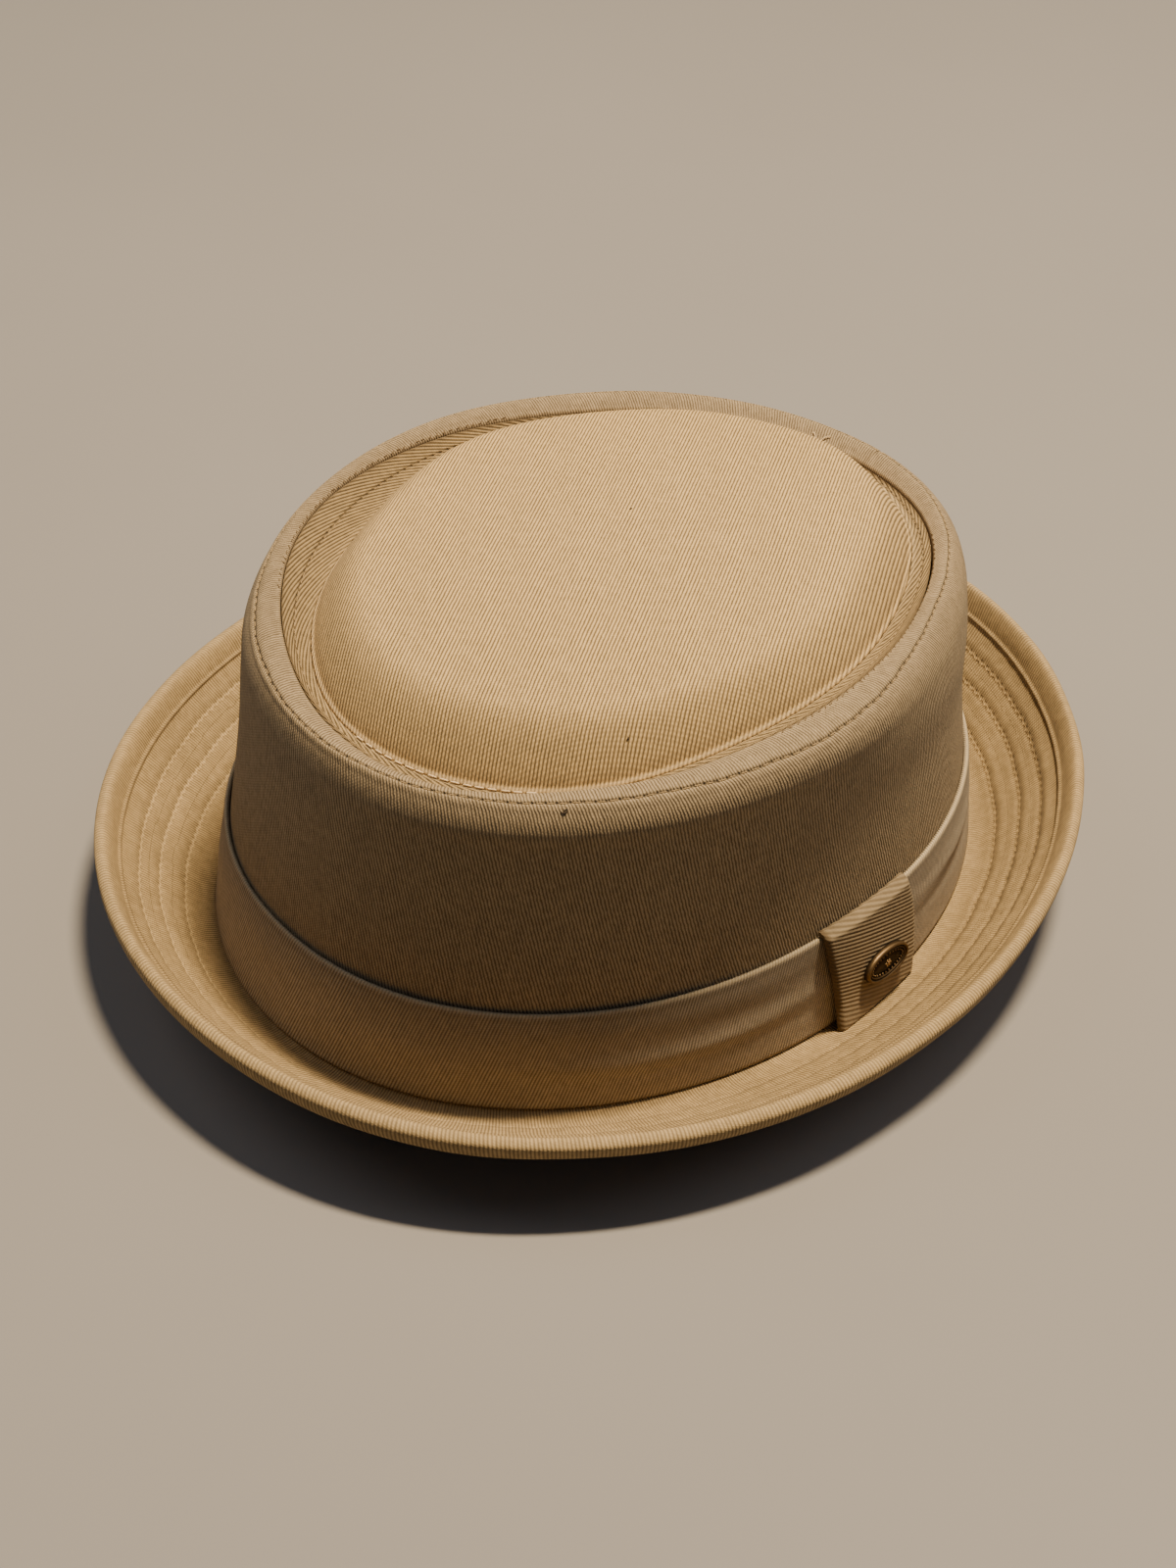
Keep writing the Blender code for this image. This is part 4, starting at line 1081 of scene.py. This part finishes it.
def build_badge():
    y0, z0 = np.array([BADGE_CENTRE_Y]), BADGE_CENTRE_Z
    centre = keeper_point(z0, y0, [0.7 + 0.35 + KEEPER_WALL + GAP])[0]
    ahead, behind = keeper_point(z0, y0 + 4, [0.0])[0], keeper_point(z0, y0 - 4, [0.0])[0]
    above, below = keeper_point(z0 + 4, y0, [0.0])[0], keeper_point(z0 - 4, y0, [0.0])[0]
    along, up = unit(ahead - behind), unit(above - below)
    out = unit(np.cross(along, up))
    up = unit(np.cross(out, along))
    tilt = math.radians(BADGE_TILT)
    long_axis = along * math.cos(tilt) + up * math.sin(tilt)
    short_axis = up * math.cos(tilt) - along * math.sin(tilt)
    sides = 96
    a = 2 * np.pi * np.arange(sides) / sides
    # how far in from the outline, how high, how rubbed
    profile = ((0.9, -0.25, 0.0), (0.25, -0.2, 0.0), (0.06, 0.0, 0.05), (0.0, 0.35, 0.1), (0.0, 0.75, 0.15), (0.08, 1.1, 0.35),
               (0.28, 1.38, 0.30), (0.5, 1.5, 0.42), (0.72, 1.42, 0.22), (0.88, 1.2, 0.1), (0.98, 0.98, 0.0), (1.12, 0.95, 0.0),
               (1.24, 1.12, 0.15), (1.36, 1.26, 0.22), (1.5, 1.26, 0.22), (1.62, 1.1, 0.1), (1.72, 0.85, 0.0), (1.9, 0.72, 0.0),
               (2.3, 0.74, 0.0), (2.8, 0.86, 0.02), (3.3, 0.98, 0.04), (3.8, 1.06, 0.05), (4.2, 1.10, 0.05))
    verts, wear_and_painted_light = [], []

    def point(inset, angle, height):
        return (centre + long_axis * ((BADGE_HALF_LENGTH - inset) * np.cos(angle))[..., None]
                + short_axis * ((BADGE_HALF_HEIGHT - inset) * np.sin(angle))[..., None] + out * np.asarray(height)[..., None])

    for inset, high, rub in profile:
        if inset > 4.0:
            inset = BADGE_HALF_HEIGHT - 0.25
        verts.append(point(inset, a, np.full(sides, high)))
        wear_and_painted_light.append(np.full(sides, rub))
    rows = len(profile)
    j = np.arange(sides)
    k = (j + 1) % sides
    quads = np.concatenate([np.stack([i * sides + j, i * sides + k, (i + 1) * sides + k, (i + 1) * sides + j], -1) for i in range(rows - 1)])
    # close the long flat middle by pairing points across the short axis
    last = (rows - 1) * sides
    half = sides // 2
    cap = []
    top_ring = [last + i for i in range(sides)]
    for i in range(half // 1 - 1):
        a0, a1 = top_ring[i], top_ring[i + 1]
        b0, b1 = top_ring[(sides - i) % sides], top_ring[sides - i - 1]
        if i == 0:
            cap.append((a0, a1, b1))
        else:
            cap.append((a0, a1, b1))
            cap.append((a0, b1, b0))
    cap.append((top_ring[half - 1], top_ring[half], top_ring[half + 1]))
    tris = list(cap)
    back = []
    for i in range(half - 1):
        a0, a1 = i, i + 1
        b0, b1 = (sides - i) % sides, sides - i - 1
        if i == 0:
            back.append((b1, a1, a0))
        else:
            back.append((b1, a1, a0))
            back.append((b0, b1, a0))
    back.append((half + 1, half, half - 1))
    tris += back
    verts = np.concatenate(verts)
    wear_and_painted_light = np.concatenate(wear_and_painted_light)
    piece = mesh_object("badge_body", verts, quads, np.array(tris), wear_and_painted_light=wear_and_painted_light, material=old_brass, slot="badge")
    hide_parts("badge")

    def beads(name, places, radius, height, rub):
        """Small round grains set on the badge's field, as one mesh."""
        rings, segments = 5, 10
        all_v, all_q, all_t, all_w = [], [], [], []
        for (lx, ly), r in zip(places, radius):
            base = centre + long_axis * lx + short_axis * ly + out * height
            start = sum(len(x) for x in all_v)
            pts = [base - out * (0.45 * r)]
            lat = np.linspace(-0.35 * np.pi / 2, np.pi / 2, rings + 1)[:-1]
            for f in lat:
                for g in range(segments):
                    ang = 2 * np.pi * g / segments
                    pts.append(base + (long_axis * math.cos(ang) + short_axis * math.sin(ang)) * r * math.cos(f) + out * r * math.sin(f))
            pts.append(base + out * r)
            all_v.append(np.array(pts))
            for q in range(rings - 1):
                for g in range(segments):
                    h = (g + 1) % segments
                    all_q.append((start + 1 + q * segments + g, start + 1 + q * segments + h,
                                  start + 1 + (q + 1) * segments + h, start + 1 + (q + 1) * segments + g))
            tip_index = start + 1 + rings * segments
            for g in range(segments):
                h = (g + 1) % segments
                all_t.append((start, start + 1 + h, start + 1 + g))
                all_t.append((tip_index, tip_index - segments + g, tip_index - segments + h))
            all_w.append(np.concatenate([[0.0], np.repeat(np.linspace(0.0, rub, rings), segments), [rub]]))
        return mesh_object(name, np.concatenate(all_v), np.array(all_q), np.array(all_t), wear_and_painted_light=np.concatenate(all_w),
                           material=old_brass, slot="badge")

    # a plain beaded border and a small flower of round grains in the middle
    count = 30
    ring_places = []
    for i in range(count):
        g = 2 * np.pi * i / count
        ring_places.append(((BADGE_HALF_LENGTH - 2.15) * math.cos(g), (BADGE_HALF_HEIGHT - 2.15) * math.sin(g)))
    beads("badge_beads", ring_places, [0.27] * count, 0.88, 0.62)
    flower = [(0.0, 0.0)] + [(0.78 * math.cos(2 * np.pi * i / 6), 0.78 * math.sin(2 * np.pi * i / 6)) for i in range(6)]

    beads("badge_flower", flower, [0.50] + [0.36] * 6, 1.02, 0.85)


build_badge()

# ---------------------------------------------------------------- small things the cloth picked up


def tube(name, points, radius, material, slot, sides=6):
    points = np.array(points, float)
    t = unit(np.gradient(points, axis=0))
    side = unit(np.cross(t, np.array([0.3, 0.2, 1.0])))
    up = np.cross(side, t)
    a = 2 * np.pi * np.arange(sides) / sides
    taper = np.sin(np.linspace(0.25, np.pi - 0.25, len(points))) ** 0.4
    verts = (points[:, None] + (side[:, None] * np.cos(a)[None, :, None] + up[:, None] * np.sin(a)[None, :, None]) * (radius * taper)[:, None, None])
    count = len(points)
    flat = verts.reshape(-1, 3)
    flat = np.concatenate([flat, points[:1], points[-1:]])
    quads = np.array([(i * sides + j, i * sides + (j + 1) % sides, (i + 1) * sides + (j + 1) % sides, (i + 1) * sides + j)
                      for i in range(count - 1) for j in range(sides)])
    first, last = count * sides, count * sides + 1
    tris = np.array([(first, (j + 1) % sides, j) for j in range(sides)] + [(last, (count - 1) * sides + j, (count - 1) * sides + (j + 1) % sides) for j in range(sides)])
    return mesh_object(name, flat, quads, tris, material=material, slot=slot)


def fibre(name, face, normals, spot, length, curl, turn, radius, material, slot, lift=0.15):
    """A short curled fibre lying on a wall, at the row and column in spot. Lengths are in mm."""
    row, col = spot
    n = unit(normals[row, col])
    across = unit(face[row, (col + 1) % face.shape[1]] - face[row, col])
    down = np.cross(n, across)
    a = turn + curl * np.linspace(-1, 1, 15)
    steps = (across * np.cos(a)[:, None] + down * np.sin(a)[:, None]) * length / 15
    path = np.cumsum(steps, axis=0)
    path = face[row, col] + n * lift + path - path.mean(0)
    tube(name, path, radius, material, slot)


fibre("fibre_roll_1", crown_face, crown_normals, (54, 353), 2.4, 1.5, 0.3, 0.13, lint, "crown_side")
fibre("fibre_roll_2", crown_face, crown_normals, (54, 353), 1.6, -0.9, 1.2, 0.11, lint, "crown_side")
fibre("fibre_tip_front", tip_face, tip_normals, (18, 317), 0.9, 0.8, 0.9, 0.20, lint, "crown_tip")
fibre("fibre_tip_back", tip_face, tip_normals, (58, 53), 0.8, 0.5, 0.4, 0.15, lint, "crown_tip")
fibre("fibre_brim", brim_face, brim_normals, (18, 358), 0.9, 0.6, 1.9, 0.20, lint, "brim")
fibre("thread_end_1", crown_face, crown_normals, (85, 18), 3.4, 0.5, 0.9, 0.16, light_thread, "crown_side", 0.5)
fibre("thread_end_2", crown_face, crown_normals, (86, 22), 2.4, -0.7, 2.3, 0.14, light_thread, "crown_side", 0.4)

# ---------------------------------------------------------------- camera

AZIMUTH, ELEVATION, ROLL, DISTANCE, FOCAL_PX = 48.7, 41.3, -2.3, 559.4, 2200.0
AIM = np.array([0.0, 0.0, 22.8]) - ORIGIN


def add_camera():
    az, el, roll = (math.radians(x) for x in (AZIMUTH, ELEVATION, ROLL))
    back = np.array([math.sin(az) * math.cos(el), -math.cos(az) * math.cos(el), math.sin(el)])
    right = np.array([math.cos(az), math.sin(az), 0.0])
    up = np.cross(back, right)
    r = math.cos(roll) * right - math.sin(roll) * up
    u = math.sin(roll) * right + math.cos(roll) * up
    place = (AIM + back * DISTANCE) * MM
    data = bpy.data.cameras.new("camera")
    data.sensor_fit = "AUTO"
    data.sensor_width = 36.0
    data.lens = FOCAL_PX * 36.0 / 1600.0
    data.clip_start = 0.01
    data.clip_end = 50.0
    camera = bpy.data.objects.new("camera", data)
    bpy.context.scene.collection.objects.link(camera)
    camera.matrix_world = Matrix(((r[0], u[0], back[0], place[0]), (r[1], u[1], back[1], place[1]),
                                  (r[2], u[2], back[2], place[2]), (0, 0, 0, 1)))
    bpy.context.scene.camera = camera
    return camera


add_camera()

# ---------------------------------------------------------------- floor and light


def add_floor():
    mesh = bpy.data.meshes.new("floor")
    half, count = 3.0, 2
    mesh.from_pydata([(-half, -half, 0), (half, -half, 0), (half, half, 0), (-half, half, 0)], [], [(0, 1, 2, 3)])
    floor = bpy.data.objects.new("floor", mesh)
    bpy.context.scene.collection.objects.link(floor)
    material = bpy.data.materials.new("floor_plain")
    material.use_nodes = True
    tree, nodes, links, link, m, mix, noise = node_tools(material)
    shader = nodes["Principled BSDF"]
    where = nodes.new("ShaderNodeTexCoord").outputs["Object"]
    links.new(mix((0.232, 0.212, 0.198, 1), (0.252, 0.232, 0.218, 1), noise(6.0, 3.0, 0.5, where)), shader.inputs["Base Color"])
    shader.inputs["Roughness"].default_value = 0.75
    shader.inputs["Specular IOR Level"].default_value = 0.2
    mesh.materials.append(material)


add_floor()


def add_light(name, place, target, size, power, tint, long_way=(1.0, 0.0, 0.0)):
    """An oval area light, size gives its length the long way and across it."""
    data = bpy.data.lights.new(name, "AREA")
    data.shape = "ELLIPSE"
    data.size, data.size_y = size
    data.energy = power
    data.color = tint
    lamp = bpy.data.objects.new(name, data)
    bpy.context.scene.collection.objects.link(lamp)
    z = (Vector(place) - Vector(target)).normalized()
    x = (Vector(long_way) - z * z.dot(Vector(long_way))).normalized()
    y = z.cross(x)
    lamp.matrix_world = Matrix(((x[0], y[0], z[0], place[0]), (x[1], y[1], z[1], place[1]),
                                (x[2], y[2], z[2], place[2]), (0, 0, 0, 1)))
    return lamp


# The photo's light comes from nearly overhead, a little behind and to the right of the hat.
add_light("key", (0.035, 0.335, 1.60), (0, 0, 0.05), (0.34, 0.10), 65.5, (1.0, 0.83, 0.57), (0.66, 0.75, 0.0))
add_light("fill_left", (-1.05, -0.62, 1.25), (0, 0, 0.05), (1.2, 1.2), 5.6, (0.97, 0.97, 1.0))
add_light("fill_right", (0.60, 1.05, 1.25), (0, 0, 0.05), (1.2, 1.2), 5.0, (0.95, 0.96, 1.0))

world = bpy.data.worlds.new("soft_room") if not bpy.data.worlds else bpy.data.worlds[0]
bpy.context.scene.world = world
world.use_nodes = True
background = world.node_tree.nodes.get("Background") or world.node_tree.nodes.new("ShaderNodeBackground")
background.inputs[0].default_value = (0.60, 0.78, 1.0, 1.0)
background.inputs[1].default_value = 0.075
